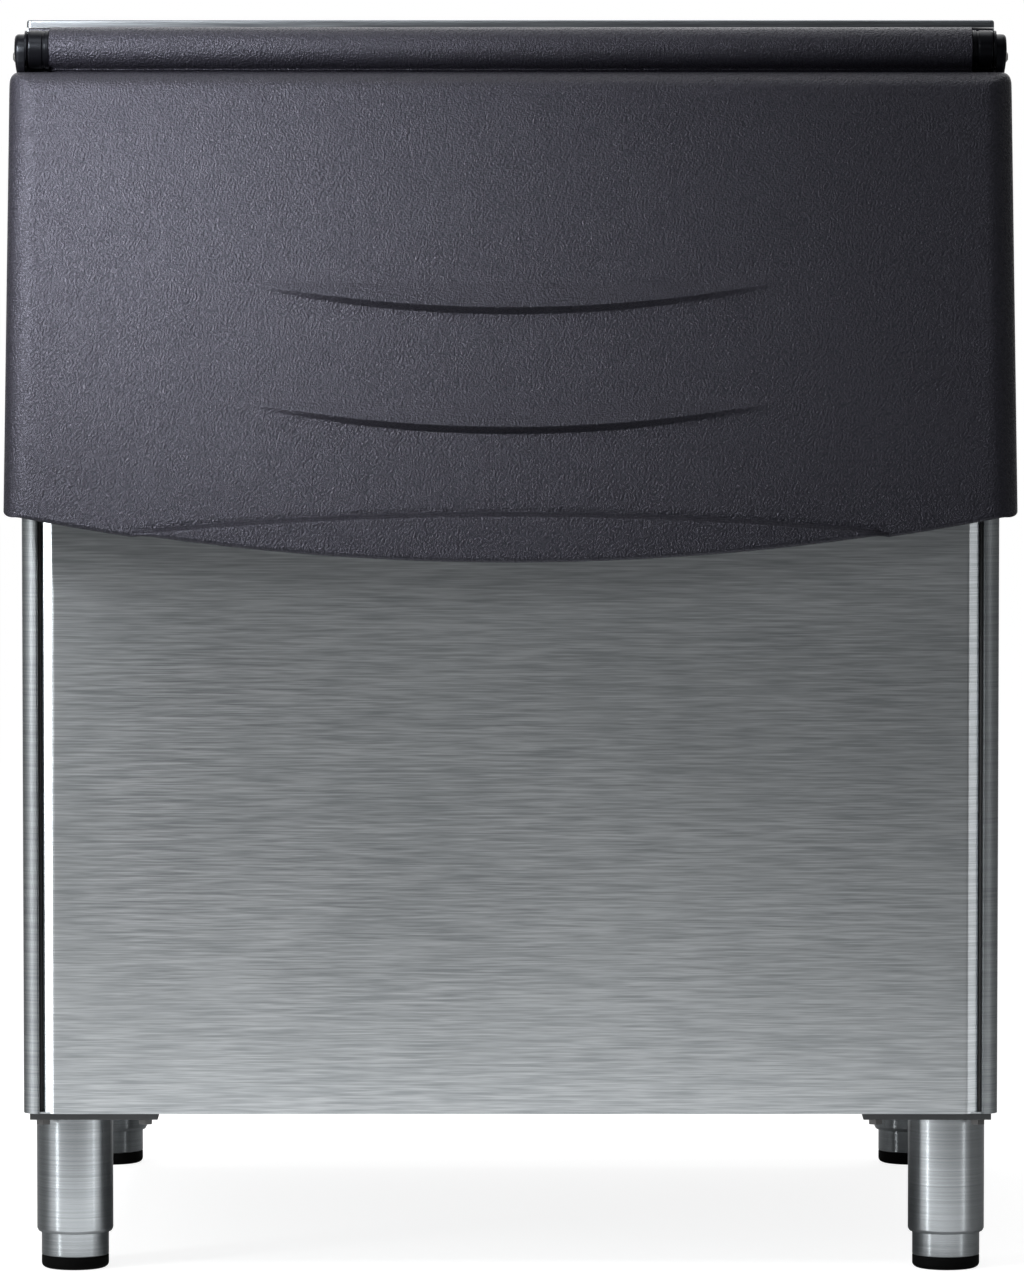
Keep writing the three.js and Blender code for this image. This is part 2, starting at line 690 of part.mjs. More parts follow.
// The door's side profile below the roll: shoulder, flat face and an open end below
function doorProfile(inset, back) {
  const face = DOOR_FACE_OUT - inset;
  const end = DOOR_END_DOWN + DOOR_ARC_RISE + OVERRUN;
  const shoulder = arcPoints(
    [SHOULDER_OUT, SHOULDER_DOWN + SHOULDER_HEIGHT], face - SHOULDER_OUT, SHOULDER_HEIGHT - inset, -90, 0,
    2 * CORNER_STEPS,
  );
  return [[back, SHOULDER_DOWN + inset], ...shoulder, [face, end], [back, end]];
}

function doorForm(inset, back) {
  const wide = DOOR_HALF_WIDTH - inset;
  const face = DOOR_FACE_OUT - inset;
  const r = DOOR_SIDE_RADIUS - inset;
  const plan = [
    ...arcPoints([wide - r, face - r], r, r, 0, 90, CORNER_STEPS),
    ...arcPoints([-wide + r, face - r], r, r, 90, 180, CORNER_STEPS),
    [-wide, back],
    [wide, back],
  ];
  const down = DOOR_END_DOWN + DOOR_ARC_RISE + OVERRUN;
  const bevel = DOOR_EDGE_RADIUS;
  const front = offsetPath(doorOutline(), -inset, true);
  return common(
    closedSolid(prism(doorProfile(inset, back), -wide, wide, doorSide)),
    closedSolid(prism(plan, 0, down, doorPlan)),
    closedSolid(prism(front, back - bevel - OVERRUN, face, doorFace, bevel)),
  );
}

// The web that joins the roll to the shoulder, with a hollow fillet in the valley
function doorWeb() {
  const valley = arcPoints(
    [VALLEY_OUT + VALLEY_FILLET, SHOULDER_DOWN - VALLEY_FILLET], VALLEY_FILLET, VALLEY_FILLET, 180, 90,
    CORNER_STEPS,
  );
  const outline = [
    [-DOOR_BACK, 0],
    [VALLEY_OUT, 0],
    ...valley,
    [VALLEY_OUT + VALLEY_FILLET, SHOULDER_DOWN + DOOR_WALL],
    [-DOOR_BACK, SHOULDER_DOWN + DOOR_WALL],
  ];
  return closedSolid(prism(outline, -ROLL_HALF_LENGTH, ROLL_HALF_LENGTH, doorSide));
}

// A louvre: flush along its straight top and standing out along its curved lower edge
function crescent(top) {
  const chord = CRESCENT_HALF_LENGTH;
  const radius = (chord * chord + CRESCENT_HEIGHT * CRESCENT_HEIGHT) / (2 * CRESCENT_HEIGHT);
  const spread = THREE.MathUtils.radToDeg(Math.asin(chord / radius));
  const outline = arcPoints(
    [0, top + CRESCENT_HEIGHT - radius], radius, radius, 90 - spread, 90 + spread, ARC_STEPS / 2,
  );
  const block = closedSolid(prism(
    outline, DOOR_FACE_OUT - DOOR_WALL / 2, DOOR_FACE_OUT + CRESCENT_OUT, doorFace,
  ));
  const ramp = [
    [DOOR_FACE_OUT - DOOR_WALL, top - OVERRUN],
    [DOOR_FACE_OUT, top],
    [DOOR_FACE_OUT + CRESCENT_OUT, top + CRESCENT_HEIGHT],
    [DOOR_FACE_OUT - DOOR_WALL, top + CRESCENT_HEIGHT],
  ];
  return common(block, closedSolid(prism(ramp, -chord, chord, doorSide)));
}

// The handle lip: a raised lens above the door's lower edge
function handleLip() {
  const [reach, peak] = [HANDLE_HALF_LENGTH, bottomDown(0) - HANDLE_HEIGHT];
  const endDown = bottomDown(reach) - HANDLE_END_HEIGHT;
  const lower = [];
  for (let i = 0; i <= ARC_STEPS; i++) {
    const x = reach * ((2 * i) / ARC_STEPS - 1);
    lower.push([x, bottomDown(x)]);
  }
  const upper = lower.map(([x]) => [x, peak + (endDown - peak) * (x / reach) ** 2]).reverse();
  return closedSolid(prism(
    [...lower, ...upper], DOOR_FACE_OUT - HANDLE_BEVEL - DOOR_WALL, DOOR_FACE_OUT + HANDLE_OUT, doorFace,
    HANDLE_BEVEL,
  ));
}

function sideFlange(side) {
  const down = DOOR_END_DOWN - DOOR_TOE_RADIUS;
  const flange = box(
    DOOR_HALF_WIDTH - DOOR_WALL, DOOR_HALF_WIDTH,
    DOOR_BACK - DOOR_WALL, DOOR_BACK + FLANGE_REACH, -down, -FLANGE_TOP,
  );
  return onSide(flange, side);
}

function doorShell() {
  const roll = closedSolid(rodAlongX(ROLL_RADIUS, -ROLL_HALF_LENGTH, ROLL_HALF_LENGTH, ROLL_SIDES));
  const bore = closedSolid(rodAlongX(
    ROLL_RADIUS - ROLL_WALL, -ROLL_HALF_LENGTH - OVERRUN, ROLL_HALF_LENGTH + OVERRUN, ROUND_SIDES,
  ));
  const cavity = doorForm(DOOR_WALL, -DOOR_BACK - OVERRUN);
  const louvres = CRESCENT_TOPS.map((top) => crescent(top));
  const face = cut(join(doorForm(0, -DOOR_BACK), doorWeb(), handleLip(), ...louvres), cavity);
  return cut(join(face, roll, sideFlange(-1), sideFlange(1)), bore);
}

function doorInnerPanel() {
  const back = box(
    -DOOR_HALF_WIDTH, DOOR_HALF_WIDTH, DOOR_BACK - INNER_PANEL, DOOR_BACK,
    -DOOR_END_DOWN - DOOR_ARC_RISE, 0,
  );
  return common(doorForm(DOOR_WALL + SEAT_GAP, -DOOR_BACK - OVERRUN), closedSolid(back));
}

function doorCore() {
  return doorForm(DOOR_WALL + SEAT_GAP, -DOOR_BACK + INNER_PANEL + SEAT_GAP);
}

function doorGasket() {
  const ring = (grown) => roundedRectangle(
    -MOUTH_HALF_WIDTH - grown, MOUTH_HALF_WIDTH + grown, MOUTH_TOP - grown, MOUTH_BOTTOM + grown,
    MOUTH_CORNER + grown,
  );
  const [from, to] = [-FRAME_RECESS + SEAT_GAP, -DOOR_BACK - SEAT_GAP];
  const inner = GASKET_MARGIN - GASKET_WIDTH / 2;
  return cut(
    closedSolid(prism(ring(inner + GASKET_WIDTH), from, to, doorFace)),
    closedSolid(prism(ring(inner), from - OVERRUN, to + OVERRUN, doorFace)),
  );
}

function hingeBushing(side) {
  const bore = PIN_RADIUS + PIN_RUNNING_GAP;
  const plug = ROLL_RADIUS - ROLL_WALL - SEAT_GAP;
  const [inner, seat, outer] = [ROLL_HALF_LENGTH - PLUG_LENGTH, ROLL_HALF_LENGTH + SEAT_GAP, COLLAR_OUTER];
  const chamfer = ROLL_WALL / 2;
  const profile = [
    [bore, inner], [plug, inner], [plug, seat],
    [COLLAR_RADIUS - chamfer, seat], [COLLAR_RADIUS, seat + chamfer],
    [COLLAR_RADIUS, outer - chamfer], [COLLAR_RADIUS - chamfer, outer],
    [bore, outer], [bore, inner],
  ];
  return onSide(turned(profile, ROUND_SIDES).rotateY(Math.PI / 2), side);
}

// Hinge pieces on the cabinet

function pinHole(side) {
  const [from, to] = [HALF_WIDTH - SHEET - OVERRUN, HALF_WIDTH + OVERRUN];
  return side > 0
    ? hingeRod(PIN_RADIUS + SEAT_GAP, from, to, PIN_SIDES)
    : hingeRod(PIN_RADIUS + SEAT_GAP, -to, -from, PIN_SIDES);
}

function hingePin(side) {
  const from = ROLL_HALF_LENGTH - PLUG_LENGTH;
  const to = BRACKET_INNER + BRACKET_THICKNESS - BRACKET_SKIN - SEAT_GAP;
  return side > 0
    ? hingeRod(PIN_RADIUS, from, to, PIN_SIDES)
    : hingeRod(PIN_RADIUS, -to, -from, PIN_SIDES);
}

function screwShank(radius, from, to, offset, side) {
  return onSide(
    rodAlongX(radius, from, to, SCREW_SIDES)
      .translate(0, HINGE_SETBACK + offset, HINGE_HEIGHT - screwDrop()),
    side,
  );
}

function screwDrop() {
  return (BRACKET_BELOW - BRACKET_ABOVE) / 2;
}

function screwHoles(side) {
  const end = BRACKET_INNER + BRACKET_THICKNESS - SCREW_LENGTH - SEAT_GAP;
  return SCREW_OFFSETS.map((offset) => (
    screwShank(SCREW_RADIUS + SEAT_GAP, end, BRACKET_INNER + BRACKET_THICKNESS + OVERRUN, offset, side)
  ));
}

function hingeBracket(side) {
  const outline = roundedRectangle(
    HINGE_SETBACK - BRACKET_FRONT, HINGE_SETBACK + BRACKET_REACH,
    HINGE_HEIGHT - BRACKET_BELOW, HINGE_HEIGHT + BRACKET_ABOVE, BRACKET_CORNER,
  );
  const outer = BRACKET_INNER + BRACKET_THICKNESS;
  const block = onSide(prism(outline, BRACKET_INNER - BRACKET_BEVEL, outer, alongX, BRACKET_BEVEL), side);
  const behind = onSide(box(
    BRACKET_INNER - 2 * BRACKET_BEVEL, BRACKET_INNER, 0, CABINET_DEPTH, LEG_HEIGHT, OVERALL_HEIGHT,
  ), side);
  const socket = onSide(rodAlongX(
    PIN_RADIUS + SEAT_GAP, BRACKET_INNER - OVERRUN, outer - BRACKET_SKIN, PIN_SIDES,
  ).translate(0, HINGE_SETBACK, HINGE_HEIGHT), side);
  return cut(block, behind, socket, ...screwHoles(side));
}

function bracketScrew(offset, side) {
  const seat = BRACKET_INNER + BRACKET_THICKNESS + SEAT_GAP;
  const profile = [
    [0, seat - SCREW_LENGTH], [SCREW_RADIUS, seat - SCREW_LENGTH], [SCREW_RADIUS, seat],
    [SCREW_HEAD_RADIUS, seat], [SCREW_HEAD_RADIUS, seat + SCREW_HEAD / 2],
    [SCREW_HEAD_RADIUS / 2, seat + SCREW_HEAD], [0, seat + SCREW_HEAD],
  ];
  const screw = turned(profile, SCREW_SIDES).rotateY(Math.PI / 2);
  return onSide(screw.translate(0, HINGE_SETBACK + offset, HINGE_HEIGHT - screwDrop()), side);
}

// Legs: one plate, tube, foot and four bolts at each corner

const corners = [
  { name: 'front_left', side: -1, end: -1 },
  { name: 'front_right', side: 1, end: -1 },
  { name: 'back_left', side: -1, end: 1 },
  { name: 'back_right', side: 1, end: 1 },
];

function legCentre({ side, end }) {
  const x = side * (HALF_WIDTH - LEG_SIDE_INSET);
  const y = end < 0 ? LEG_END_INSET : CABINET_DEPTH - LEG_END_INSET;
  return [x, y];
}

// Turns a place on the front-right plate, measured from the plate's outer corner, into x and y
function onPlate({ side, end }, inward, along) {
  const x = side * (HALF_WIDTH - PLATE_SIDE_MARGIN - inward);
  const y = end < 0 ? PLATE_SIDE_MARGIN + along : CABINET_DEPTH - PLATE_SIDE_MARGIN - along;
  return [x, y];
}

function boltPlaces(corner) {
  const [near, far] = [BOLT_INSET, PLATE_SIZE - BOLT_INSET];
  return [[near, near], [far, near], [far, far], [near, far]].map(([inward, along]) => (
    onPlate(corner, inward, along)
  ));
}

function boltHole([x, y]) {
  return closedSolid(rod(
    BOLT_RADIUS + SEAT_GAP, PLATE_BOTTOM - OVERRUN, PAN_TOP + OVERRUN, BOLT_SIDES,
  ).translate(x, y, 0));
}

function boltHoles() {
  return corners.flatMap((corner) => boltPlaces(corner).map(boltHole));
}

function legPlate(corner) {
  const outline = [
    [0, 0], [PLATE_SIZE, 0], [PLATE_SIZE, PLATE_SIZE - PLATE_CHAMFER],
    [PLATE_SIZE - PLATE_CHAMFER, PLATE_SIZE], [0, PLATE_SIZE],
  ].map(([inward, along]) => onPlate(corner, inward, along));
  const plate = closedSolid(prism(outline, PLATE_BOTTOM, PLATE_TOP, alongZ));
  return cut(plate, ...boltPlaces(corner).map(boltHole));
}

function legBolt([x, y]) {
  const seat = PLATE_BOTTOM - SEAT_GAP;
  const profile = [
    [0, seat - BOLT_HEAD], [BOLT_HEAD_RADIUS, seat - BOLT_HEAD], [BOLT_HEAD_RADIUS, seat],
    [BOLT_RADIUS, seat], [BOLT_RADIUS, PAN_TOP], [0, PAN_TOP],
  ];
  return closedSolid(turned(profile, BOLT_SIDES).translate(x, y, 0));
}

// The tube is closed at the top and has a threaded web for the foot's stud
function legTube(corner) {
  const [r, bore, ceiling] = [TUBE_RADIUS, TUBE_RADIUS - TUBE_WALL, TUBE_TOP - TUBE_WALL];
  const [hole, webTop] = [STUD_RADIUS + SEAT_GAP, WEB_BOTTOM + TUBE_WEB];
  const profile = [
    [bore, TUBE_BOTTOM], [r - TUBE_CHAMFER / 2, TUBE_BOTTOM], [r, TUBE_BOTTOM + TUBE_CHAMFER],
    [r, TUBE_TOP], [0, TUBE_TOP], [0, ceiling], [bore, ceiling], [bore, webTop], [hole, webTop],
    [hole, WEB_BOTTOM], [bore, WEB_BOTTOM], [bore, TUBE_BOTTOM],
  ];
  return closedSolid(turned(profile, ROUND_SIDES).translate(...legCentre(corner), 0));
}

function footSleeve(corner) {
  const bottom = PAD_HEIGHT + SEAT_GAP;
  const bore = SLEEVE_RADIUS - SLEEVE_WALL;
  const profile = [
    [0, bottom], [SLEEVE_RADIUS, bottom], [SLEEVE_RADIUS, SLEEVE_TOP], [bore, SLEEVE_TOP],
    [bore, bottom + SLEEVE_WALL], [STUD_RADIUS, bottom + SLEEVE_WALL], [STUD_RADIUS, STUD_TOP],
    [0, STUD_TOP],
  ];
  return closedSolid(turned(profile, ROUND_SIDES).translate(...legCentre(corner), 0));
}

function footPad(corner) {
  const r = SLEEVE_RADIUS;
  const round = arcPoints([r - PAD_ROUND, PAD_ROUND], PAD_ROUND, PAD_ROUND, -90, 0, CORNER_STEPS);
  const profile = [[0, 0], ...round, [r, PAD_HEIGHT], [0, PAD_HEIGHT]];
  return closedSolid(turned(profile, ROUND_SIDES).translate(...legCentre(corner), 0));
}

// Assembly

place(cabinet, 'front_panel', frontPanel(), brushedSteel);
place(cabinet, 'side_panel_left', sidePanel(-1), brushedSteel);
place(cabinet, 'side_panel_right', sidePanel(1), brushedSteel);
place(cabinet, 'back_panel', backPanel(), galvanisedSteel);
place(cabinet, 'base_pan', basePan(), galvanisedSteel);
place(cabinet, 'top_frame', topFrame(), brushedSteel);
place(cabinet, 'bin_liner', binLiner(), linerWhite);
place(cabinet, 'opening_frame', openingFrame(), doorBlack);
place(cabinet, 'foam_insulation', foamInsulation(), foamYellow);
place(cabinet, 'drain_spigot', drainSpigot(), linerWhite);
place(cabinet, 'drain_nut', drainNut(), linerWhite);
place(cabinet, 'drain_strainer', drainStrainer(), linerWhite);

for (const [word, side] of [['left', -1], ['right', 1]]) {
  place(cabinet, `hinge_bracket_${word}`, hingeBracket(side), hingeBlack);
  place(cabinet, `hinge_pin_${word}`, hingePin(side), zincSteel);
  SCREW_OFFSETS.forEach((offset, i) => {
    place(cabinet, `bracket_screw_${word}_${i + 1}`, bracketScrew(offset, side), zincSteel);
  });
  place(door, `hinge_bushing_${word}`, hingeBushing(side), hingeBlack);
}

place(door, 'door_shell', doorShell(), doorBlack);
place(door, 'door_inner_panel', doorInnerPanel(), doorBlack);
place(door, 'door_core', doorCore(), foamYellow);
place(door, 'door_gasket', doorGasket(), gasketGrey);

for (const corner of corners) {
  place(cabinet, `leg_plate_${corner.name}`, legPlate(corner), brushedSteel);
  place(cabinet, `leg_tube_${corner.name}`, legTube(corner), brushedSteel);
  boltPlaces(corner).forEach((spot, i) => {
    place(cabinet, `leg_bolt_${corner.name}_${i + 1}`, legBolt(spot), zincSteel);
  });
  place(cabinet, `foot_sleeve_${corner.name}`, footSleeve(corner), brushedSteel);
  place(cabinet, `foot_pad_${corner.name}`, footPad(corner), padBlack);
}

// The bin stands on the floor with the middle of its outline over the origin
const bin = new THREE.Group();
bin.add(cabinet, door);
bin.updateMatrixWorld(true);
const middle = new THREE.Box3().setFromObject(bin, true).getCenter(new THREE.Vector3());
bin.position.set(-middle.x, -middle.y, 0);

export default bin;
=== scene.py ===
"""An insulated ice storage bin: its dressed surfaces, finishes, studio and camera.

Shapes are worked out in millimetres in the maker's own frame, with the front panel's
face at y = 0, the back at y = 740 and the floor at z = 0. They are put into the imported
model's frame, in metres, when a piece is made.
"""
import math

import bmesh
import bpy
import numpy as np
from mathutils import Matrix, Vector


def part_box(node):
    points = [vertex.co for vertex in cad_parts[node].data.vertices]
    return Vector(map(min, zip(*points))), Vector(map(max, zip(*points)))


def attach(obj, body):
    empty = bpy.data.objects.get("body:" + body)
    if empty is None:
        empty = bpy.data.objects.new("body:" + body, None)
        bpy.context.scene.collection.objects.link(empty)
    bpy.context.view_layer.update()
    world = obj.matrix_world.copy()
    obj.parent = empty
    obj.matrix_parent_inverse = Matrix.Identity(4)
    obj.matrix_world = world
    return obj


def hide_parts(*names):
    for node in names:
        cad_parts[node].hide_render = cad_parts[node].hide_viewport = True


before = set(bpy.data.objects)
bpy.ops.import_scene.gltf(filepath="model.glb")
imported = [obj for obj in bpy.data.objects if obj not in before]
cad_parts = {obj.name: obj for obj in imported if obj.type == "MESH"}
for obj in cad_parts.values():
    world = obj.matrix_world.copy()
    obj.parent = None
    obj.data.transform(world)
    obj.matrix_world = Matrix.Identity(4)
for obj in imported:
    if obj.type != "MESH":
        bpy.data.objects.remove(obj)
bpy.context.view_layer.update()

# Camera: 7 m away at the height of the deck, looking a little down, as fitted to the
# photograph. Lengths in metres, lens and sensor in millimetres, the angle in degrees.

CAMERA_PLACE, CAMERA_DOWN, LENS, SENSOR = (0.00115, -7.1702, 0.979), 4.019, 247.63, 36

camera = bpy.data.objects.new("camera", bpy.data.cameras.new("camera"))
bpy.context.scene.collection.objects.link(camera)
camera.data.lens, camera.data.sensor_width = LENS, SENSOR
camera.data.clip_start, camera.data.clip_end = 0.1, 200
camera.location = CAMERA_PLACE
camera.rotation_euler = (math.radians(90 - CAMERA_DOWN), 0, 0)
bpy.context.scene.camera = camera
bpy.context.scene.view_settings.view_transform = "Standard"

# Sizes in millimetres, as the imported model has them. On the door, "down" is measured
# along its slope from the hinge's axis, and "out" square to the slope.

# The front panel's face, the hinge's axis and the slope of the upper front
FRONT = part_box("front_panel")[0].y
HINGE_Y, HINGE_Z = 93.5, 957
SLOPE = math.radians(17.5)

# Cabinet: the half width, depth, height and sheet; the heights between which the skins
# run; how far the front's returns reach back; and how deep the mouth's frame is set
HALF_WIDTH, DEPTH, TOP, SHEET = 381, 740, 980, 1.2
BODY_BOTTOM, SKIN_TOP, RETURN_TOP, RETURN_BACK, FRAME_RECESS = 127, 973.7, 660, 18, 14

# How far in from the half width the front's edge and its flat end, and the side's front return;
# the front's bevel, the side's back end and the top of the dark seam bead that stands for the
# shade in the seam
FRONT_EDGE, FRONT_FLAT, SIDE_RETURN = 15.5, 24.5, 12.6
BEVEL, SIDE_BACK, BEAD_TOP = 4.2, 367, 612

# The dark seam bead, painted shade in the seam between front and side: its sides, front and back
# in plan, and its corner
BEAD = (365.55, 368.35, 4.5, 13, 1.2)

# The deck's front, its edge's bottom, the bottom of the lip round its opening, and
# the opening itself
DECK_FRONT, DECK_EDGE_BOTTOM, OPENING_LIP_BOTTOM = 112, 974, 968
OPENING_HALF, OPENING_FRONT, OPENING_BACK, OPENING_ROUND = 332.3, 190, 670, 24

# Door: its half width, how far out its face and back are, its wall and the slip between
# its parts; the roundings of the shoulder, the sides, the toes and the edge, and the
# power by which they merge; the side flanges, which reach past the back; and how the
# lower wall leans
DOOR_HALF, DOOR_FACE, DOOR_BACK, WALL, SLIP = 392.5, 37, 8, 3, 0.3
SHOULDER_DOWN, SHOULDER_DROP, SHOULDER_LONG, SHOULDER_ROUND = 23, 29, 21, 7
SIDE_ROUND, TOE_ROUND, EDGE_ROUND, MERGE = 22, 10, 3, 2.4
FLANGE, FLANGE_TOP, FLANGE_BOTTOM, FLANGE_SLOPE = 12, 46, 376, 12
LEAN, LEAN_TOP, LEAN_LONG = 16, 335, 40

# The door's curved lower edge, its louvres, its handle lip with the crease above it,
# and its roll with the groove under it
ARC_END, ARC_RISE = 385.5, 40.5
LOUVRES, LOUVRE_HALF, LOUVRE_HIGH, LOUVRE_OUT, LOUVRE_TURN = (200, 296), 208, 22, 6, 4.4
LIP_HALF, LIP_PEAK, LIP_END, LIP_OUT = 290, 386.5, 401, 10
LIP_RISE, LIP_FALL, LIP_TAPER, CREASE_DEEP, CREASE_WIDE = 6, 0.05, 18, 0.8, 3
ROLL, ROLL_BORE, ROLL_HALF, GROOVE_PLACE, GROOVE = 17.5, 14, 362, (4.5, 22.3), 4.6

# Hinge: the radii of the pin's bore, the plug and the collar; the cover's base, its
# front, back, bottom and top, its corner and its thinning below the axis; and how far
# behind the axis and below it the screws are
PIN_BORE, PLUG, COLLAR = 5.4, 13.7, 15
COVER_BASE, COVER_SIDES, COVER_ROUND, COVER_THINS = 381.3, (79.5, 155.5, 933.5, 969), 14, 0.3
SCREWS_BEHIND, SCREWS_BELOW = (30, 50), 5.75

# The door's inner skin: how far out its foam side is; its raised field, with the slope
# at its border; and its flutes, with the slope at their ends. Then the foam's gap to
# the face and its lift off the skin
SKIN_FRONT = -5
FIELD_HALF, FIELD_TOP, FIELD_BOTTOM, FIELD_SLOPE, FIELD_RISE = 300, 74, 315, 14, 3.4
FLUTE_TOP, FLUTE_BOTTOM, FLUTE_SLOPE, FLUTE_DEEP, FLUTE_PITCH = 104, 285, 16, 2.2, 100
FOAM_GAP, FOAM_LIFT = 1.2, 0.4

# The seal's foot round the mouth: its inner half width, top and corner, how wide it is,
# and how far behind the slope the seal reaches; its bottom follows from the CAD seal
SEAL_HALF, SEAL_TOP, SEAL_ROUND, SEAL_WIDE, SEAL_OUT = 315, 45, 26, 12, 13.7
seal_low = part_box("door_gasket")[0].z * 1000
SEAL_BOTTOM = (HINGE_Z - SEAL_OUT * math.sin(SLOPE) - seal_low) / math.cos(SLOPE) - SEAL_WIDE

# Legs: the places of their axes, and the foot's radius
LEG_X, LEG_FRONT, LEG_BACK, FOOT = 343, 50, 690, 26.5

# A point is kept this far outside each end of a rounding
GUARD = 0.4


# Outlines and grids

def rounded(corners, radii, steps, closed=True):
    """An outline with round corners, worked out in complex numbers. Each corner becomes
    an arc of its radius that touches both sides: it starts and ends a tangent of half
    the turn times the radius from the corner, and swings about its centre. One more
    point stands just outside each end of the arc, so that the flat sides shade flat."""
    p = np.asarray(corners, float) @ np.array([1, 1j])
    r = np.broadcast_to(np.asarray(radii, float), p.shape).copy()
    if not closed:
        r[[0, -1]] = 0
    before, after = np.roll(p, 1) - p, np.roll(p, -1) - p
    before, after = before / abs(before), after / abs(after)
    turn = np.angle(-after / before)
    start = p + before * r * np.tan(abs(turn) / 2)
    end = p + after * r * np.tan(abs(turn) / 2)
    centre = start - 1j * before * np.sign(turn) * r
    swing = np.exp(1j * turn[:, None] * np.linspace(0, 1, steps + 1))
    arcs = centre[:, None] + (start - centre)[:, None] * swing
    guard = GUARD * (r > 0)
    line = np.column_stack([start + before * guard, arcs, end + after * guard]).ravel()
    return apart(np.column_stack([line.real, line.imag]))


def apart(line):
    """A line without the points that repeat the one before."""
    return line[np.insert(abs(np.diff(line, axis=0)).sum(1) > 1e-6, 0, True)]


def rectangle(x0, x1, y0, y1, radius, steps):
    """A rectangle with round corners between two places on each axis."""
    return rounded([[x0, y0], [x1, y0], [x1, y1], [x0, y1]], radius, steps)


def beside(line, distance):
    """An open line moved sideways by a distance: each point goes along the mean of
    its two segments' normals, lengthened so that both segments move by it."""
    p = line @ np.array([1, 1j])
    step = np.diff(p)
    normal = 1j * step / abs(step)
    first = np.concatenate([normal[:1], normal])
    second = np.concatenate([normal, normal[-1:]])
    mean = (first + second) / (1 + (first * second.conj()).real)
    p = p + mean * distance
    return np.column_stack([p.real, p.imag])


def raised(line, height):
    """A line in plan at one height, or at a height for each of its points."""
    return np.column_stack([line, height + 0 * line[:, 0]])


def patch(points, loop_rows=False, loop_columns=False):
    """A grid of points as quads, each between two rows and two columns."""
    rows, columns = points.shape[:2]
    index = np.arange(rows * columns).reshape(rows, columns)
    if loop_rows:
        index = np.vstack([index, index[:1]])
    if loop_columns:
        index = np.hstack([index, index[:, :1]])
    quads = np.stack([index[:-1, :-1], index[1:, :-1], index[1:, 1:], index[:-1, 1:]], -1)
    return points.reshape(-1, 3), quads.reshape(-1, 4)


def lid(points):
    """A closed row of points as one flat face."""
    return points, np.arange(len(points))[None, :]


def turned(profile, sides=72):
    """A profile of radius and height turned round Z: x = r cos a, y = r sin a."""
    profile = np.asarray(profile, float)
    angle = np.linspace(0, 2 * math.pi, sides, endpoint=False)
    r, z = profile[:, 0, None], profile[:, 1, None]
    return np.stack([r * np.cos(angle), r * np.sin(angle), z + 0 * angle], -1)


def along_x(points, side):
    """Lays a turned shape's axis along X, outward on one side."""
    return np.stack([points[..., 2] * side, points[..., 0], points[..., 1]], -1)


def on_door(x, down, out):
    """A place on the closed door, down the slope from the hinge and out from it."""
    y = HINGE_Y - down * math.sin(SLOPE) - out * math.cos(SLOPE)
    z = HINGE_Z - down * math.cos(SLOPE) + out * math.sin(SLOPE)
    return np.stack(np.broadcast_arrays(x, y, z), -1)


def slope_height(out, y):
    """The height at which a plane parallel to the sloping front has a y."""
    down = (HINGE_Y - out * math.cos(SLOPE) - y) / math.sin(SLOPE)
    return HINGE_Z - down * math.cos(SLOPE) + out * math.sin(SLOPE)


def smooth(t):
    """Rises from 0 to 1 with level ends: 3 t squared less 2 t cubed."""
    t = np.clip(t, 0, 1)
    return t * t * (3 - 2 * t)


def quarter(t):
    """Rises from 0 to 1 along a quarter of a circle: root of 1 - (1 - t) squared."""
    return np.sqrt(1 - (1 - np.clip(t, 0, 1)) ** 2)


def piece(name, patches, body, finish, replaces=(), sharp=32):
    """Makes one closed piece of its patches, with merged seams and outward faces.
    Edges sharper than an angle in degrees stay sharp."""
    vertices, faces, start = [], [], 0
    for points, polygons in patches:
        vertices.append(points)
        faces += (polygons + start).tolist()
        start += len(points)
    places = np.concatenate(vertices) / 1000 + np.array([0, FRONT, 0])
    mesh = bpy.data.meshes.new(name)
    mesh.from_pydata(places.tolist(), [], faces)
    work = bmesh.new()
    work.from_mesh(mesh)
    bmesh.ops.remove_doubles(work, verts=work.verts, dist=3e-6)
    bmesh.ops.recalc_face_normals(work, faces=work.faces)
    if work.calc_volume(signed=True) < 0:
        bmesh.ops.reverse_faces(work, faces=work.faces)
    work.to_mesh(mesh)
    work.free()
    mesh.shade_smooth()
    mesh.set_sharp_from_angle(angle=math.radians(sharp))
    made = bpy.data.objects.new(name, mesh)
    bpy.context.scene.collection.objects.link(made)
    dress(made, body, finish, replaces)


def dress(made, body, finish, replaces):
    """Gives a piece its finish, its body and the nodes it stands for."""
    made.data.materials.clear()
    made.data.materials.append(finish)
    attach(made, body)
    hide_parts(*replaces)


def smoothed_copy(node, name, body, finish, bevel=0.0):
    """A moulded or pressed CAD part with its facets merged and, where a bevel in
    millimetres is given, its edges eased. The CAD part's own mesh isn't touched."""
    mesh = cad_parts[node].data.copy()
    mesh.name = name
    work = bmesh.new()
    work.from_mesh(mesh)
    bmesh.ops.remove_doubles(work, verts=work.verts, dist=1e-5)
    bmesh.ops.dissolve_limit(
        work, angle_limit=math.radians(0.5), verts=work.verts, edges=work.edges)
    bmesh.ops.triangulate(work, faces=[f for f in work.faces if len(f.verts) > 4])
    work.to_mesh(mesh)
    work.free()
    mesh.shade_smooth()
    mesh.set_sharp_from_angle(angle=math.radians(32))
    made = bpy.data.objects.new(name, mesh)
    bpy.context.scene.collection.objects.link(made)
    if bevel:
        ease = made.modifiers.new("eased_edges", "BEVEL")
        ease.width, ease.segments = bevel / 1000, 2
        ease.limit_method, ease.angle_limit = "ANGLE", math.radians(40)
        ease.harden_normals = False
    made.modifiers.new("flat_faces", "WEIGHTED_NORMAL").keep_sharp = True
    dress(made, body, finish, (node,))


# Finishes

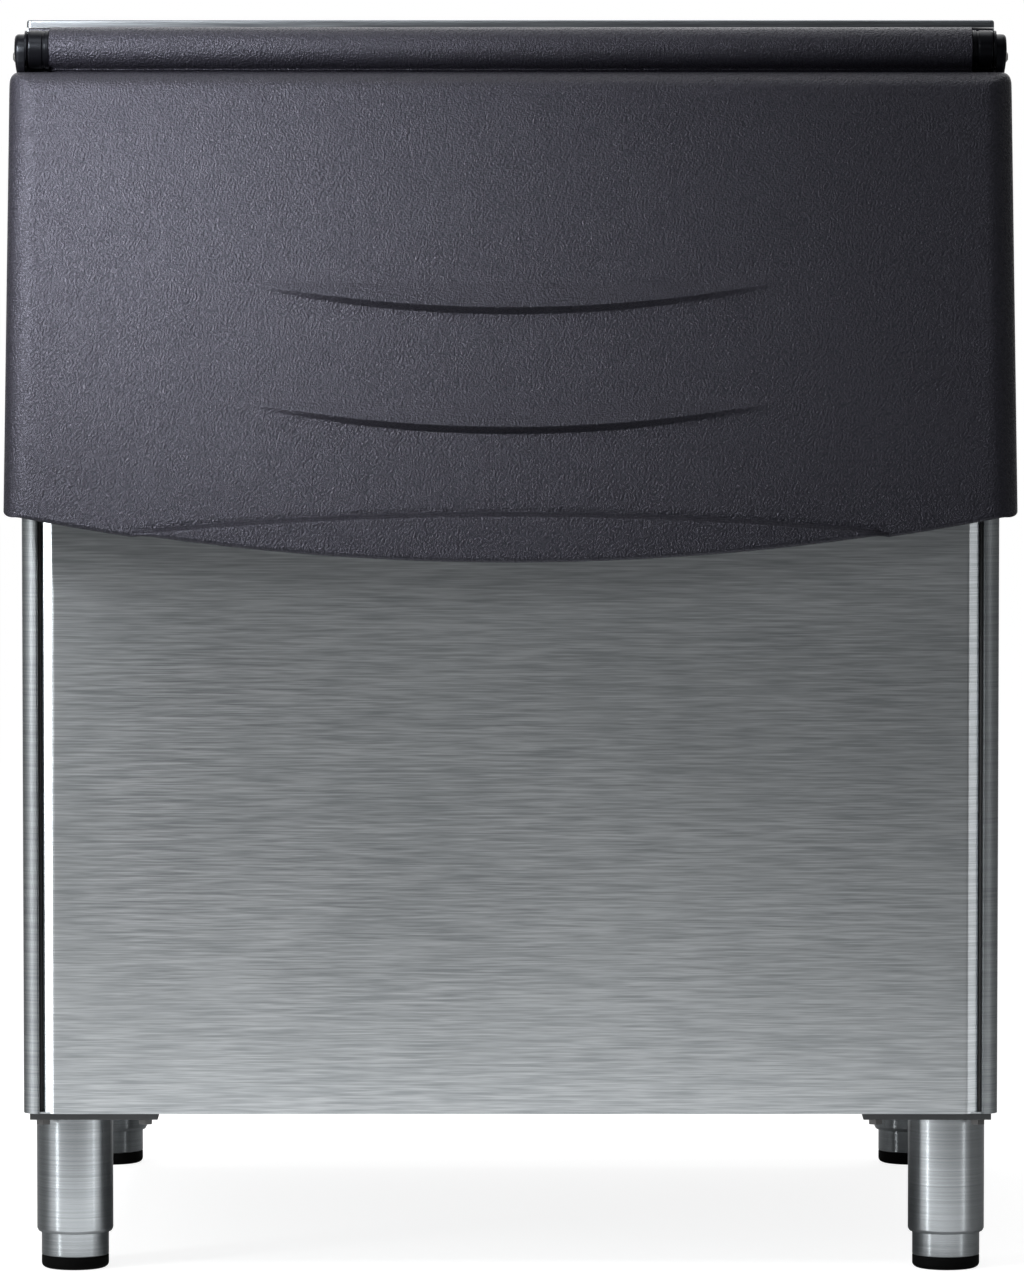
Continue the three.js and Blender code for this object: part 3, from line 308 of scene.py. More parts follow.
def node(tree, kind, values=None, **settings):
    """Adds a node; a value that is a socket is linked, and any other is set."""
    made = tree.nodes.new(kind)
    for key, value in settings.items():
        setattr(made, key, value)
    for key, value in (values or {}).items():
        if isinstance(value, bpy.types.NodeSocket):
            tree.links.new(value, made.inputs[key])
        else:
            made.inputs[key].default_value = value
    return made


def math_node(tree, operation, *values, clamp=False):
    """The result of an operation on values or sockets."""
    return node(
        tree, "ShaderNodeMath", dict(enumerate(values)), operation=operation, use_clamp=clamp,
    ).outputs[0]


def effect(name, inputs, outputs):
    """Starts a shader node group with named inputs and outputs."""
    tree = bpy.data.node_groups.new(name, "ShaderNodeTree")
    for label, kind, value in inputs:
        socket = tree.interface.new_socket(label, in_out="INPUT", socket_type=kind)
        socket.default_value = value
    for label, kind in outputs:
        tree.interface.new_socket(label, in_out="OUTPUT", socket_type=kind)
    return tree, node(tree, "NodeGroupInput").outputs, node(tree, "NodeGroupOutput")


def stretched(tree, stretch):
    """Object coordinates multiplied by a stretch along each axis."""
    place = node(tree, "ShaderNodeTexCoord").outputs["Object"]
    return node(
        tree, "ShaderNodeVectorMath", {0: place, 1: stretch}, operation="MULTIPLY",
    ).outputs[0]


def noise(tree, vector, scale, detail, roughness, distortion=0.0):
    """Fractal noise from 0 to 1, about 0.5."""
    return node(tree, "ShaderNodeTexNoise", {
        "Vector": vector, "Scale": scale, "Detail": detail, "Roughness": roughness,
        "Distortion": distortion,
    }).outputs["Fac"]


def brushed_grain():
    """Streaks of two widths: noise stretched along the grain, one layer fine and one
    wide, and slow cloudiness over the sheet."""
    tree, given, out = effect(
        "brushed_grain",
        [("Stretch", "NodeSocketVector", (9, 9, 460)), ("Wide", "NodeSocketFloat", 0.35)],
        [("Streak", "NodeSocketFloat"), ("Cloud", "NodeSocketFloat")],
    )
    line = stretched(tree, given["Stretch"])
    fine = noise(tree, line, 1.8, 2, 0.6)
    wide = noise(tree, line, 0.45, 4, 0.6)
    mixed = node(tree, "ShaderNodeMix", {0: given["Wide"], 2: fine, 3: wide}).outputs[0]
    place = node(tree, "ShaderNodeTexCoord").outputs["Object"]
    tree.links.new(mixed, out.inputs["Streak"])
    tree.links.new(noise(tree, place, 3.5, 3, 0.5), out.inputs["Cloud"])
    return tree


def moulded_pebble():
    """A leather-like mould texture: rounded cells broken up by noise, and a mask of the pits
    between them, used to paint shade into the pits."""
    tree, given, out = effect(
        "moulded_pebble",
        [("Scale", "NodeSocketFloat", 430.0)],
        [("Height", "NodeSocketFloat"), ("Pits", "NodeSocketFloat")],
    )
    place = node(tree, "ShaderNodeTexCoord").outputs["Object"]
    warp = noise(tree, place, math_node(tree, "MULTIPLY", given["Scale"], 0.5), 2, 0.5)
    shift = math_node(tree, "MULTIPLY", warp, 0.0022)
    bent = node(
        tree, "ShaderNodeVectorMath", {0: place, 1: shift}, operation="ADD").outputs[0]
    cells = node(tree, "ShaderNodeTexVoronoi", {
        "Vector": bent, "Scale": given["Scale"], "Smoothness": 0.35, "Randomness": 1.0,
    }, feature="SMOOTH_F1").outputs["Distance"]
    grit = noise(tree, place, math_node(tree, "MULTIPLY", given["Scale"], 1.9), 2, 0.6)
    height = math_node(tree, "ADD", math_node(tree, "MULTIPLY", cells, -1.0), grit)
    tree.links.new(height, out.inputs["Height"])
    pits = math_node(tree, "MULTIPLY_ADD", cells, 2.4, -0.9, clamp=True)
    tree.links.new(pits, out.inputs["Pits"])
    return tree


def handled():
    """Marks of use: slow smudges, and sparse fine scuffs where narrow noise bands
    cross a threshold."""
    tree, given, out = effect(
        "handled",
        [("Scale", "NodeSocketFloat", 5.0)],
        [("Smudge", "NodeSocketFloat"), ("Scuff", "NodeSocketFloat")],
    )
    place = node(tree, "ShaderNodeTexCoord").outputs["Object"]
    smudge = noise(tree, place, given["Scale"], 5, 0.62, 0.4)
    thin = noise(tree, stretched(tree, (30, 190, 30)), 1.0, 3, 0.7, 0.6)
    scuff = math_node(tree, "MULTIPLY_ADD", thin, 14.0, -9.7, clamp=True)
    tree.links.new(smudge, out.inputs["Smudge"])
    tree.links.new(scuff, out.inputs["Scuff"])
    return tree


GRAIN, PEBBLE, HANDLED = brushed_grain(), moulded_pebble(), handled()


def placed(tree, group, **values):
    """Places an effect in a material with its own values and returns its outputs."""
    made = tree.nodes.new("ShaderNodeGroup")
    made.node_tree = group
    for label, value in values.items():
        made.inputs[label].default_value = value
    return made.outputs


def span(tree, value, low, high):
    """A value from 0 to 1 spread between two limits."""
    return node(tree, "ShaderNodeMapRange", {
        "Value": value, "To Min": low, "To Max": high}).outputs[0]


def tint(tree, amount, first, second):
    """A mix of two colours, each three numbers or a socket: all second at 1."""
    ends = [end if isinstance(end, bpy.types.NodeSocket) else (*end, 1)
            for end in (first, second)]
    return node(tree, "ShaderNodeMix", {0: amount, 6: ends[0], 7: ends[1]},
                data_type="RGBA").outputs[2]


def bump(tree, height, strength, distance):
    """A normal from a height, whose full scale is a distance in metres."""
    return node(tree, "ShaderNodeBump", {
        "Height": height, "Strength": strength, "Distance": distance}).outputs[0]


def finish(name):
    """A material with its tree and shader."""
    material = bpy.data.materials.new(name)
    material.use_nodes = True
    tree = material.node_tree
    return material, tree, tree.nodes["Principled BSDF"]


def feed(tree, shader, **values):
    """Sets or links the shader's sockets; an underscore stands for a space."""
    for label, value in values.items():
        socket = shader.inputs[label.replace("_", " ")]
        if isinstance(value, bpy.types.NodeSocket):
            tree.links.new(value, socket)
        else:
            socket.default_value = value


def steel(name, stretch, wide, gloss=(0.24, 0.33), brushed=0.87,
          dark=(0.40, 0.43, 0.45), light=(0.64, 0.67, 0.69), contrast=3.2):
    """Brushed stainless steel, whose streaks vary its tone, gloss and height. The tone
    is half the cloud plus the streak times the contrast, centred on one half."""
    material, tree, shader = finish(name)
    grain = placed(tree, GRAIN, Stretch=stretch, Wide=wide)
    use = placed(tree, HANDLED, Scale=4.0)
    tone = math_node(tree, "MULTIPLY_ADD", grain["Cloud"], 0.5, math_node(
        tree, "MULTIPLY_ADD", grain["Streak"], contrast, 0.25 - contrast / 2), clamp=True)
    rough = math_node(tree, "ADD", span(tree, grain["Streak"], *gloss),
                      math_node(tree, "MULTIPLY", use["Smudge"], 0.08))
    feed(tree, shader, Base_Color=tint(tree, tone, dark, light), Metallic=1.0,
         Roughness=rough, Anisotropic=brushed, Anisotropic_Rotation=0.25,
         Normal=bump(tree, grain["Streak"], 0.05, 0.0004))
    return material


def galvanised(name):
    """Zinc-coated sheet: flat spangle cells of slightly different tone and gloss."""
    material, tree, shader = finish(name)
    place = node(tree, "ShaderNodeTexCoord").outputs["Object"]
    cells = node(tree, "ShaderNodeTexVoronoi", {"Vector": place, "Scale": 95.0}).outputs["Color"]
    value = node(tree, "ShaderNodeSeparateColor", {0: cells}).outputs[0]
    use = placed(tree, HANDLED, Scale=3.0)
    feed(tree, shader, Base_Color=tint(tree, value, (0.40, 0.43, 0.45), (0.56, 0.59, 0.61)),
         Metallic=0.9, Roughness=span(tree, value, 0.38, 0.58),
         Normal=bump(tree, use["Smudge"], 0.15, 0.002))
    return material


def pebbled(name, base, worn_and_lit, scale, strength, shine, **more):
    """Textured moulded plastic: the pebbles' tops are painted in the lighter colour, a painted
    highlight, and the pits between them in the darker one, painted shade. Scuffs show the lighter
    colour too, as real wear."""
    material, tree, shader = finish(name)
    mould = placed(tree, PEBBLE, Scale=scale)
    use = placed(tree, HANDLED, Scale=6.0)
    # Painted highlight and painted shade: the pebbles' tops take the lighter colour and the pits
    # between them the darker one
    colour = tint(tree, mould["Pits"], worn_and_lit, base)
    colour = tint(tree, math_node(tree, "MULTIPLY", use["Scuff"], 0.25), colour, worn_and_lit)
    gloss = math_node(tree, "ADD", span(tree, mould["Pits"], *shine),
                      math_node(tree, "MULTIPLY", use["Smudge"], 0.06))
    feed(tree, shader, Base_Color=colour, Roughness=gloss, Specular_Tint=(0.82, 0.83, 1, 1),
         Normal=bump(tree, mould["Height"], strength, 0.0006), **more)
    return material


def plain(name, dark, light, gloss, metal=0.0, depth=0.0002, scale=160.0, **more):
    """A finish with slow changes of tone and gloss and a fine uneven skin."""
    material, tree, shader = finish(name)
    place = node(tree, "ShaderNodeTexCoord").outputs["Object"]
    skin = noise(tree, place, scale, 3, 0.6)
    use = placed(tree, HANDLED, Scale=9.0)
    tone = math_node(tree, "ADD", math_node(tree, "MULTIPLY", use["Smudge"], 0.7),
                     math_node(tree, "MULTIPLY", skin, 0.3))
    feed(tree, shader, Base_Color=tint(tree, tone, dark, light), Metallic=metal,
         Roughness=span(tree, tone, *gloss), Normal=bump(tree, skin, 0.3, depth), **more)
    return material


STEEL = steel("brushed_steel", (14, 14, 460), 0.25)
# Painted shade: the deck's steel is toned much darker than the front's, so that its front edge
# reads dark
DECK_STEEL = steel("brushed_deck_steel", (9, 460, 460), 0.35, (0.30, 0.42), 0.5,
                   (0.13, 0.14, 0.155), (0.24, 0.26, 0.28))
# Painted shade: the sides' steel is toned darker than the front's; its rougher gloss is its satin
# finish
SIDE_STEEL = steel("satin_side_steel", (9, 9, 460), 0.35, (0.40, 0.50), 0.3,
                   (0.27, 0.29, 0.305), (0.40, 0.425, 0.44))
# Painted shade: the legs' steel is toned darker than the front's, for the shade under the cabinet
LEG_STEEL = steel("turned_leg_steel", (3, 3, 520), 0.05, (0.16, 0.22), 0.8,
                  (0.25, 0.27, 0.285), (0.41, 0.435, 0.45), 1.6)
# The leg plates' steel is toned very dark, darker than any other steel on the bin
PLATE_STEEL = plain("dark_plate_steel", (0.05, 0.052, 0.055), (0.09, 0.093, 0.096),
                    (0.42, 0.6), metal=0.8)
GALVANISED = galvanised("galvanised_sheet")
DOOR_PLASTIC = pebbled("textured_black_plastic", (0.004, 0.004, 0.006), (0.012, 0.0115, 0.016),
                       620.0, 0.9, (0.27, 0.50), Specular_IOR_Level=0.4)
FRAME_PLASTIC = pebbled("frame_black_plastic", (0.010, 0.010, 0.013), (0.022, 0.022, 0.026),
                        900.0, 0.25, (0.36, 0.52))
GLOSS_PLASTIC = plain("glossy_black_plastic", (0.0015, 0.0015, 0.002), (0.003, 0.003, 0.004),
                      (0.22, 0.34), depth=0.00005, scale=60.0, Specular_IOR_Level=0.14,
                      Specular_Tint=(0.80, 0.88, 1, 1))
LINER_WHITE = plain("white_liner_plastic", (0.66, 0.68, 0.69), (0.80, 0.81, 0.82), (0.32, 0.48))
GASKET_RUBBER = plain("gasket_rubber", (0.014, 0.014, 0.015), (0.032, 0.032, 0.034), (0.6, 0.8))
PAD_RUBBER = plain("foot_pad_rubber", (0.001, 0.001, 0.001), (0.003, 0.003, 0.003), (0.6, 0.85),
                   Specular_IOR_Level=0.1)
# Painted shade: the leg bolts' zinc is toned dark, for the shade under the leg plates
BOLT_ZINC = plain("shade_dark_bolt_zinc", (0.07, 0.07, 0.07), (0.13, 0.13, 0.13), (0.4, 0.6), metal=0.7)
ZINC = plain("zinc_plate", (0.42, 0.43, 0.42), (0.62, 0.62, 0.60), (0.26, 0.44), metal=1.0)
FOAM = plain("insulating_foam", (0.52, 0.42, 0.22), (0.68, 0.57, 0.33), (0.85, 1.0),
             depth=0.0015, scale=320.0)


# Door

def arc_down(x):
    """How far down the door's curved lower edge is: a circle through its two ends."""
    r = (DOOR_HALF ** 2 + ARC_RISE ** 2) / (2 * ARC_RISE)
    return ARC_END + ARC_RISE - r + np.sqrt(r ** 2 - x ** 2)


def door_top(x):
    """How far down the shoulder's upper edge is: level, with a round corner each side."""
    past = np.clip(abs(x) - DOOR_HALF + SHOULDER_ROUND, 0, SHOULDER_ROUND)
    return SHOULDER_DOWN + SHOULDER_ROUND - np.sqrt(SHOULDER_ROUND ** 2 - past ** 2)


def door_bottom(x):
    """The curved lower edge, closed by a quarter circle at each toe."""
    reach = DOOR_HALF - TOE_ROUND
    past = np.clip(abs(x) - reach, 0, TOE_ROUND)
    return arc_down(np.clip(x, -reach, reach)) - TOE_ROUND + np.sqrt(TOE_ROUND ** 2 - past ** 2)


def louvre_depth(x):
    """How far a louvre's curved lower edge, a circle, lies below its straight upper
    edge."""
    r = (LOUVRE_HALF ** 2 + LOUVRE_HIGH ** 2) / (2 * LOUVRE_HIGH)
    rim = np.sqrt(np.maximum(r ** 2 - x ** 2, 0))
    return np.clip(LOUVRE_HIGH - r + rim, 0, None)


def lip_top(x):
    """The handle lip's upper edge: a parabola from its peak to its two ends."""
    return LIP_PEAK + (LIP_END - LIP_PEAK) * (x / LIP_HALF) ** 2


def door_out(x, down):
    """How far out the door's face stands. From the flat face the roundings of side,
    shoulder and lower edge are taken, merged as the root of the sum of their powers.
    Two louvres ramp out to a curved edge and fall back. Along the handle lip's upper
    edge a bell-shaped crease is sunk, and the lip rises along a quarter circle, then
    falls away slowly downwards."""
    side = SIDE_ROUND * (1 - quarter((DOOR_HALF - abs(x)) / SIDE_ROUND))
    shoulder = SHOULDER_DROP * (1 - quarter((down - door_top(x)) / SHOULDER_LONG))
    edge = EDGE_ROUND * (1 - quarter((door_bottom(x) - down) / EDGE_ROUND))
    out = DOOR_FACE - (side ** MERGE + shoulder ** MERGE + edge ** MERGE) ** (1 / MERGE)
    for top in LOUVRES:
        deep = louvre_depth(x)
        ramp = LOUVRE_OUT * np.clip(down - top, 0, deep) / LOUVRE_HIGH
        out = out + ramp * (1 - smooth((down - top - deep) / LOUVRE_TURN))
    into = down - lip_top(x)
    end = (LIP_HALF - abs(x)) / LIP_TAPER
    crease = CREASE_DEEP * np.exp(-((into + CREASE_WIDE / 2) / CREASE_WIDE) ** 2)
    lip = LIP_OUT * quarter(into / LIP_RISE) - LIP_FALL * np.maximum(into, 0)
    return out - crease * smooth(end + 0.6) + lip * quarter(end)


def door_rows(x):
    """The door's rows for each column: they follow the shoulder, the louvres' edges,
    the lip's upper edge and the curved lower edge, with a count of even rows between
    each two, but sine-spaced at the top and bottom."""
    deep = np.maximum(louvre_depth(x), 2)
    top, bottom = door_top(x), door_bottom(x)
    lip = np.minimum(lip_top(x), bottom - 9)
    first, second = LOUVRES
    knots = np.stack([
        top, top + SHOULDER_LONG, first + 0 * x, first + deep, first + deep + LOUVRE_TURN,
        second + 0 * x, second + deep, second + deep + LOUVRE_TURN, lip - 9, lip,
        np.minimum(lip + 10, bottom - EDGE_ROUND - 0.5), bottom - EDGE_ROUND, bottom,
    ])
    counts = (12, 14, 8, 4, 12, 8, 4, 14, 9, 10, 6, 8)
    rows = [knots[:1]]
    for i, count in enumerate(counts):
        t = np.linspace(0, 1, count + 1)[1:]
        if i == 0:
            t = 1 - np.cos(t * math.pi / 2)
        if i == len(counts) - 1:
            t = np.sin(t * math.pi / 2)
        rows.append(knots[i] + (knots[i + 1] - knots[i]) * t[:, None])
    return np.concatenate(rows)


def rims_of(*grids):
    """The border of each grid as one closed row."""
    return [np.concatenate([g[0], g[1:, -1], g[-1, -2::-1], g[-2:0:-1, 0]]) for g in grids]


def leaned(down):
    """The lower wall leans back: towards the bin it ends higher up the slope."""
    return down - LEAN * smooth((down - LEAN_TOP) / LEAN_LONG)


def door_face():
    """A moulded tray: the face, the same face moved in by the wall, and the side walls
    that join their rims behind, with a flange along each side. The columns crowd
    towards the sides as a sine."""
    turn = np.sin(np.linspace(0, math.pi / 2, 13)[1:]) * SIDE_ROUND
    flat = DOOR_HALF - SIDE_ROUND
    x = np.concatenate([-flat - turn[::-1], np.linspace(-flat, flat, 171), flat + turn])
    down = door_rows(x)
    x = np.broadcast_to(x, down.shape)
    out = door_out(x, down)
    middle = (SHOULDER_DOWN + ARC_END + ARC_RISE) / 2
    squeeze_x, squeeze_down = 1 - WALL / DOOR_HALF, 1 - WALL / (middle - SHOULDER_DOWN)
    inner = (x * squeeze_x, middle + (down - middle) * squeeze_down, out - WALL)
    edge, inside = rims_of(x, down, out), rims_of(*inner)
    flange = smooth((edge[1] - FLANGE_TOP) / FLANGE_SLOPE)
    flange = flange * smooth((FLANGE_BOTTOM - edge[1]) / FLANGE_SLOPE)
    low = -DOOR_BACK - FLANGE * flange * (abs(edge[0]) > DOOR_HALF - 0.01)
    wall = np.stack([
        on_door(*edge), on_door(edge[0], leaned(edge[1]), low),
        on_door(inside[0], leaned(inside[1]), low), on_door(*inside),
    ])
    faces = [patch(on_door(x, down, out)), patch(on_door(*inner)), patch(wall, loop_columns=True)]
    piece("door_face", faces, "door", DOOR_PLASTIC, ("door_shell",), 28)


def door_roll():
    """The round bar along the door's top with the web that carries the face: one
    outline of places out and down, a circle, the web and a round groove between them,
    carried along X, with a bore for the hinge plugs."""
    turn = np.radians(np.linspace(78, -242, 73))
    bar = ROLL * np.column_stack([np.cos(turn), np.sin(turn)])
    turn = np.radians(np.linspace(262, 96, 25))
    groove = GROOVE_PLACE + GROOVE * np.column_stack([np.cos(turn), np.sin(turn)])
    web = [[-DOOR_BACK, 15.6], [-DOOR_BACK, 31], [12, 31], [12, SHOULDER_DOWN]]
    outline = np.vstack([groove[::-1], bar, web])
    angle = np.arctan2(outline[:, 1], outline[:, 0])
    bore = ROLL_BORE * np.column_stack([np.cos(angle), np.sin(angle)])
    rows = [(bore, -ROLL_HALF), (outline, -ROLL_HALF), (outline, ROLL_HALF), (bore, ROLL_HALF)]
    grid = np.stack([on_door(x + 0 * line[:, 0], line[:, 1], line[:, 0]) for line, x in rows])
    piece("door_roll", [patch(grid, loop_rows=True, loop_columns=True)], "door", DOOR_PLASTIC)


def door_liner():
    """The door's inner skin: a thin plate whose middle is raised towards the bin, with
    upright flutes sunk into it where a cosine across the door is high."""
    half = DOOR_HALF - WALL - SLIP
    x = np.linspace(-half, half, 181)
    t = np.linspace(0, 1, 91)[:, None]
    top, bottom = door_top(x) + WALL + SLIP, leaned(door_bottom(x)) - WALL - SLIP
    down = top + (bottom - top) * t
    x = np.broadcast_to(x, down.shape)
    field = smooth((FIELD_HALF - abs(x)) / FIELD_SLOPE)
    field = field * smooth((down - FIELD_TOP) / FIELD_SLOPE)
    field = field * smooth((FIELD_BOTTOM - down) / FIELD_SLOPE)
    flute = smooth((np.cos(x * 2 * math.pi / FLUTE_PITCH) - 0.1) / 0.5)
    flute = flute * smooth((down - FLUTE_TOP) / FLUTE_SLOPE)
    flute = flute * smooth((FLUTE_BOTTOM - down) / FLUTE_SLOPE)
    back = -DOOR_BACK - FIELD_RISE * field + FLUTE_DEEP * flute * field
    front = SKIN_FRONT + 0 * x
    rims = rims_of(x, down, front, back)
    wall = np.stack([on_door(*rims[:3]), on_door(rims[0], rims[1], rims[3])])
    faces = [patch(on_door(x, down, front)), patch(on_door(x, down, back)),
             patch(wall, loop_columns=True)]
    piece("door_inner_skin", faces, "door", FRAME_PLASTIC,
          ("door_inner_panel",))


def door_fill():
    """The foam inside the door: a block whose front follows the face's inner side and
    whose lower wall leans back with it. Its grid crowds towards the edges as a sine."""
    half = DOOR_HALF - WALL - SLIP
    x = half * np.sin(np.linspace(-math.pi / 2, math.pi / 2, 91))
    t = (1 - np.cos(np.linspace(0, math.pi, 61)))[:, None] / 2
    top, bottom = door_top(x) + WALL + SLIP, door_bottom(x) - WALL - SLIP
    down = top + (bottom - top) * t
    x = np.broadcast_to(x, down.shape)
    out = np.minimum(door_out(x * DOOR_HALF / half, down), DOOR_FACE)
    front = np.maximum(out - WALL - FOAM_GAP, 0)
    lean = leaned(down)
    back = SKIN_FRONT + FOAM_LIFT + 0 * front
    rims = rims_of(x, down, front, lean, back)
    wall = np.stack([on_door(*rims[:3]), on_door(rims[0], rims[3], rims[4])])
    piece("door_fill", [patch(on_door(x, down, front)), patch(on_door(x, lean, back)),
                        patch(wall, loop_columns=True)], "door", FOAM,
          ("door_core",))


def door_seal():
    """A bulb seal: the outline of a flat foot with a round lip, each point of which is
    carried round the mouth as a rectangle grown by its distance from the foot's inner
    edge."""
    lip = rounded([[0, -8.3], [0, -11], [3, -13.5], [9, -13.5], [12, -11], [12, -8.3]],
                  [0, 1.5, 1.8, 1.8, 1.5, 0], 3, closed=False)
    loops = []
    for grown, out in lip:
        x, down = rectangle(-SEAL_HALF - grown, SEAL_HALF + grown, SEAL_TOP - grown,
                            SEAL_BOTTOM + grown, SEAL_ROUND + grown, 8).T
        loops.append(on_door(x, down, out))
    piece("door_seal", [patch(np.stack(loops), loop_rows=True, loop_columns=True)], "door",
          GASKET_RUBBER, ("door_gasket",))


# Hinges

def hinge(side, word):
    """A glossy collar that plugs into the roll, a boss, a domed cover on the cabinet's
    side and its two screws. The collar and the boss are turned. The cover is a stack of
    rounded rectangles that shrink as they stand out, and it tapers towards its lower
    edge."""
    profile = rounded(
        [[PIN_BORE, 340], [PLUG, 340], [PLUG, 362.3], [COLLAR, 362.3], [COLLAR, 365.6],
         [14.3, 366.2], [14.3, 367.4], [COLLAR, 368], [COLLAR, 379], [PIN_BORE, 379]],
        [0.3, 1, 0.2, 0.6, 0.5, 0.3, 0.3, 0.5, 1.6, 0.5], 4)
    axis = np.array([0, HINGE_Y, HINGE_Z])
    collar = along_x(turned(profile), side) + axis
    piece(f"hinge_collar_{word}", [patch(collar, loop_rows=True, loop_columns=True)], "door",
          GLOSS_PLASTIC, (f"hinge_bushing_{word}",))
    profile = [[PIN_BORE, 379.4], [14.2, 379.4], [14.7, 379.9], [14.7, 381.4],
               [PIN_BORE, 381.4]]
    boss = along_x(turned(profile), side) + axis
    piece(f"hinge_boss_{word}", [patch(boss, loop_rows=True, loop_columns=True)], "cabinet",
          GLOSS_PLASTIC)
    ease = np.linspace(0, math.pi / 2, 7)
    inset = np.concatenate([[0, 0], 3.2 * (1 - np.cos(ease[1:])), [5, 8, 10.5, 13]])
    reach = np.concatenate([
        [COVER_BASE, 386.1], 386.1 + 3.2 * np.sin(ease[1:]), [389.45, 389.65, 389.75, 389.8]])
    loops = []
    front, back, bottom, top = COVER_SIDES
    for cut, x in zip(inset, reach):
        line = rectangle(front + cut, back - cut, bottom + cut, top - cut,
                         max(COVER_ROUND - cut, 1), 7)
        taper = 1 - COVER_THINS * np.clip((HINGE_Z - line[:, 1]) / 24, 0, 1) ** 1.5
        x = side * (COVER_BASE + (x - COVER_BASE) * taper)
        loops.append(np.column_stack([x, line]))
    loops = np.stack(loops)
    piece(f"hinge_cover_{word}", [patch(loops, loop_columns=True), lid(loops[0]), lid(loops[-1])],
          "cabinet", GLOSS_PLASTIC, (f"hinge_bracket_{word}",), 40)
    for i, behind in enumerate(SCREWS_BEHIND):
        screw_head(f"bracket_screw_{word}_{i + 1}", side, HINGE_Y + behind, HINGE_Z - SCREWS_BELOW)


def screw_head(name, side, y, z):
    """A domed head with a six-lobed socket: the socket's radius swings with the cosine
    of six times the angle. Its shank runs back to the panel."""
    profile = np.array([
        [0, 371.8], [2.4, 371.8], [2.4, 388.6], [5, 388.7], [5, 389.6], [4.7, 390.6],
        [4.0, 391.5], [3.0, 392.2], [2.3, 392.5], [2.1, 392.3], [2.0, 390.9], [0, 390.9]])
    sides, socket = 48, slice(8, 11)
    points = turned(profile, sides)
    lobes = 1 + 0.16 * np.cos(6 * np.linspace(0, 2 * math.pi, sides, endpoint=False))
    points[socket, :, :2] *= lobes[:, None]
    points = along_x(points, side) + np.array([0, y, z])
    piece(f"{name}_dressed", [patch(points, loop_columns=True)], "cabinet", ZINC,
          (name,), 40)


# Cabinet skins

def sloping_top(line):
    """The skins are cut along the slope, and their front returns are cut level."""
    top = np.where(line[:, 1] < RETURN_BACK + 0.5, RETURN_TOP, SKIN_TOP)
    return np.minimum(slope_height(-FRAME_RECESS, line[:, 1]), top)


def bent_sheet(name, line, thickness, metal, replaced):
    """A bent sheet seen from above: its outer line and the same line moved in by the
    thickness, both raised from the body's lower edge to the sloping top."""
    inner = beside(line, thickness)
    grid = np.stack([
        raised(line, BODY_BOTTOM), raised(line, sloping_top(line)),
        raised(inner, sloping_top(inner)), raised(inner, BODY_BOTTOM),
    ])
    piece(name, [patch(grid, loop_rows=True), lid(grid[:, 0]), lid(grid[:, -1])],
          "cabinet", metal, (replaced,), 12)


def seam_shade_bead(side, word):
    """A dark bar in the seam between the front and a side skin, rounded and running up the corner:
    painted shade, standing for the shade deep in the gap.
    """
    bead = rectangle(*BEAD, 3) * [side, 1]
    bead = np.stack([raised(bead, BODY_BOTTOM), raised(bead, BEAD_TOP)])
    piece(f"seam_shade_bead_{word}", [patch(bead, loop_columns=True), lid(bead[0]), lid(bead[1])],
          "cabinet", GASKET_RUBBER)


def cabinet_skins():
    """The front, bevelled at its corners and returned inwards, and the two sides, each
    with a rounded front corner and a point where the slope meets its level top."""
    edge, flat = HALF_WIDTH - FRONT_EDGE, HALF_WIDTH - FRONT_FLAT
    front = rounded(
        [[edge, RETURN_BACK], [edge, BEVEL], [flat, 0], [-flat, 0], [-edge, BEVEL],
         [-edge, RETURN_BACK]], [0, 2.5, 6, 6, 2.5, 0], 8, False)
    bent_sheet("front_skin", front, -SHEET, STEEL, "front_panel")
    kink = HINGE_Y + FRAME_RECESS * math.cos(SLOPE) - (
        HINGE_Z - FRAME_RECESS * math.sin(SLOPE) - SKIN_TOP) * math.tan(SLOPE)
    turned_in = HALF_WIDTH - SIDE_RETURN
    for side, word in ((-1, "left"), (1, "right")):
        line = rounded(
            [[SIDE_BACK, DEPTH], [HALF_WIDTH, DEPTH], [HALF_WIDTH, kink], [HALF_WIDTH, 0],
             [turned_in, 0]], [0, 2, 0, 12.5, 0], 12, False)
        line = np.vstack([line, [[turned_in, RETURN_BACK]]])
        seam_shade_bead(side, word)
        bent_sheet(f"side_skin_{word}", line * [side, 1], -SHEET * side, SIDE_STEEL,
                   f"side_panel_{word}")


def deck():
    """The machine deck: a pressed sheet with bends of a quarter circle, from the lip of
    the drop opening across the top to the turned-down outer edge, and back underneath.
    Each step is a rounded rectangle, the opening's or the deck's own, grown by some
    way and raised to a height."""
    opening = (OPENING_HALF, OPENING_FRONT, OPENING_BACK, OPENING_ROUND)
    outside = (HALF_WIDTH, DECK_FRONT, DEPTH, 3)
    bend, flat = 2, TOP - 2
    ease = np.linspace(0, math.pi / 2, 5)
    steps = [(opening, SHEET, OPENING_LIP_BOTTOM), (opening, 0, OPENING_LIP_BOTTOM)]
    steps += [(opening, bend - bend * math.cos(a), flat + bend * math.sin(a)) for a in ease]
    steps += [(opening, 2.6, TOP), (outside, -2.6, TOP)]
    steps += [(outside, -bend + bend * math.sin(a), flat + bend * math.cos(a)) for a in ease]
    steps += [(outside, 0, DECK_EDGE_BOTTOM), (outside, -SHEET, DECK_EDGE_BOTTOM),
              (outside, -SHEET, TOP - SHEET), (opening, SHEET, TOP - SHEET)]
    loops = []
    for (half, low, high, corner), grown, z in steps:
        line = rectangle(-half - grown, half + grown, low - grown, high + grown,
                         corner + grown, 8)
        loops.append(raised(line, z))
    piece("deck", [patch(np.stack(loops), loop_rows=True, loop_columns=True)], "cabinet",
          DECK_STEEL, ("top_frame",))


# Legs

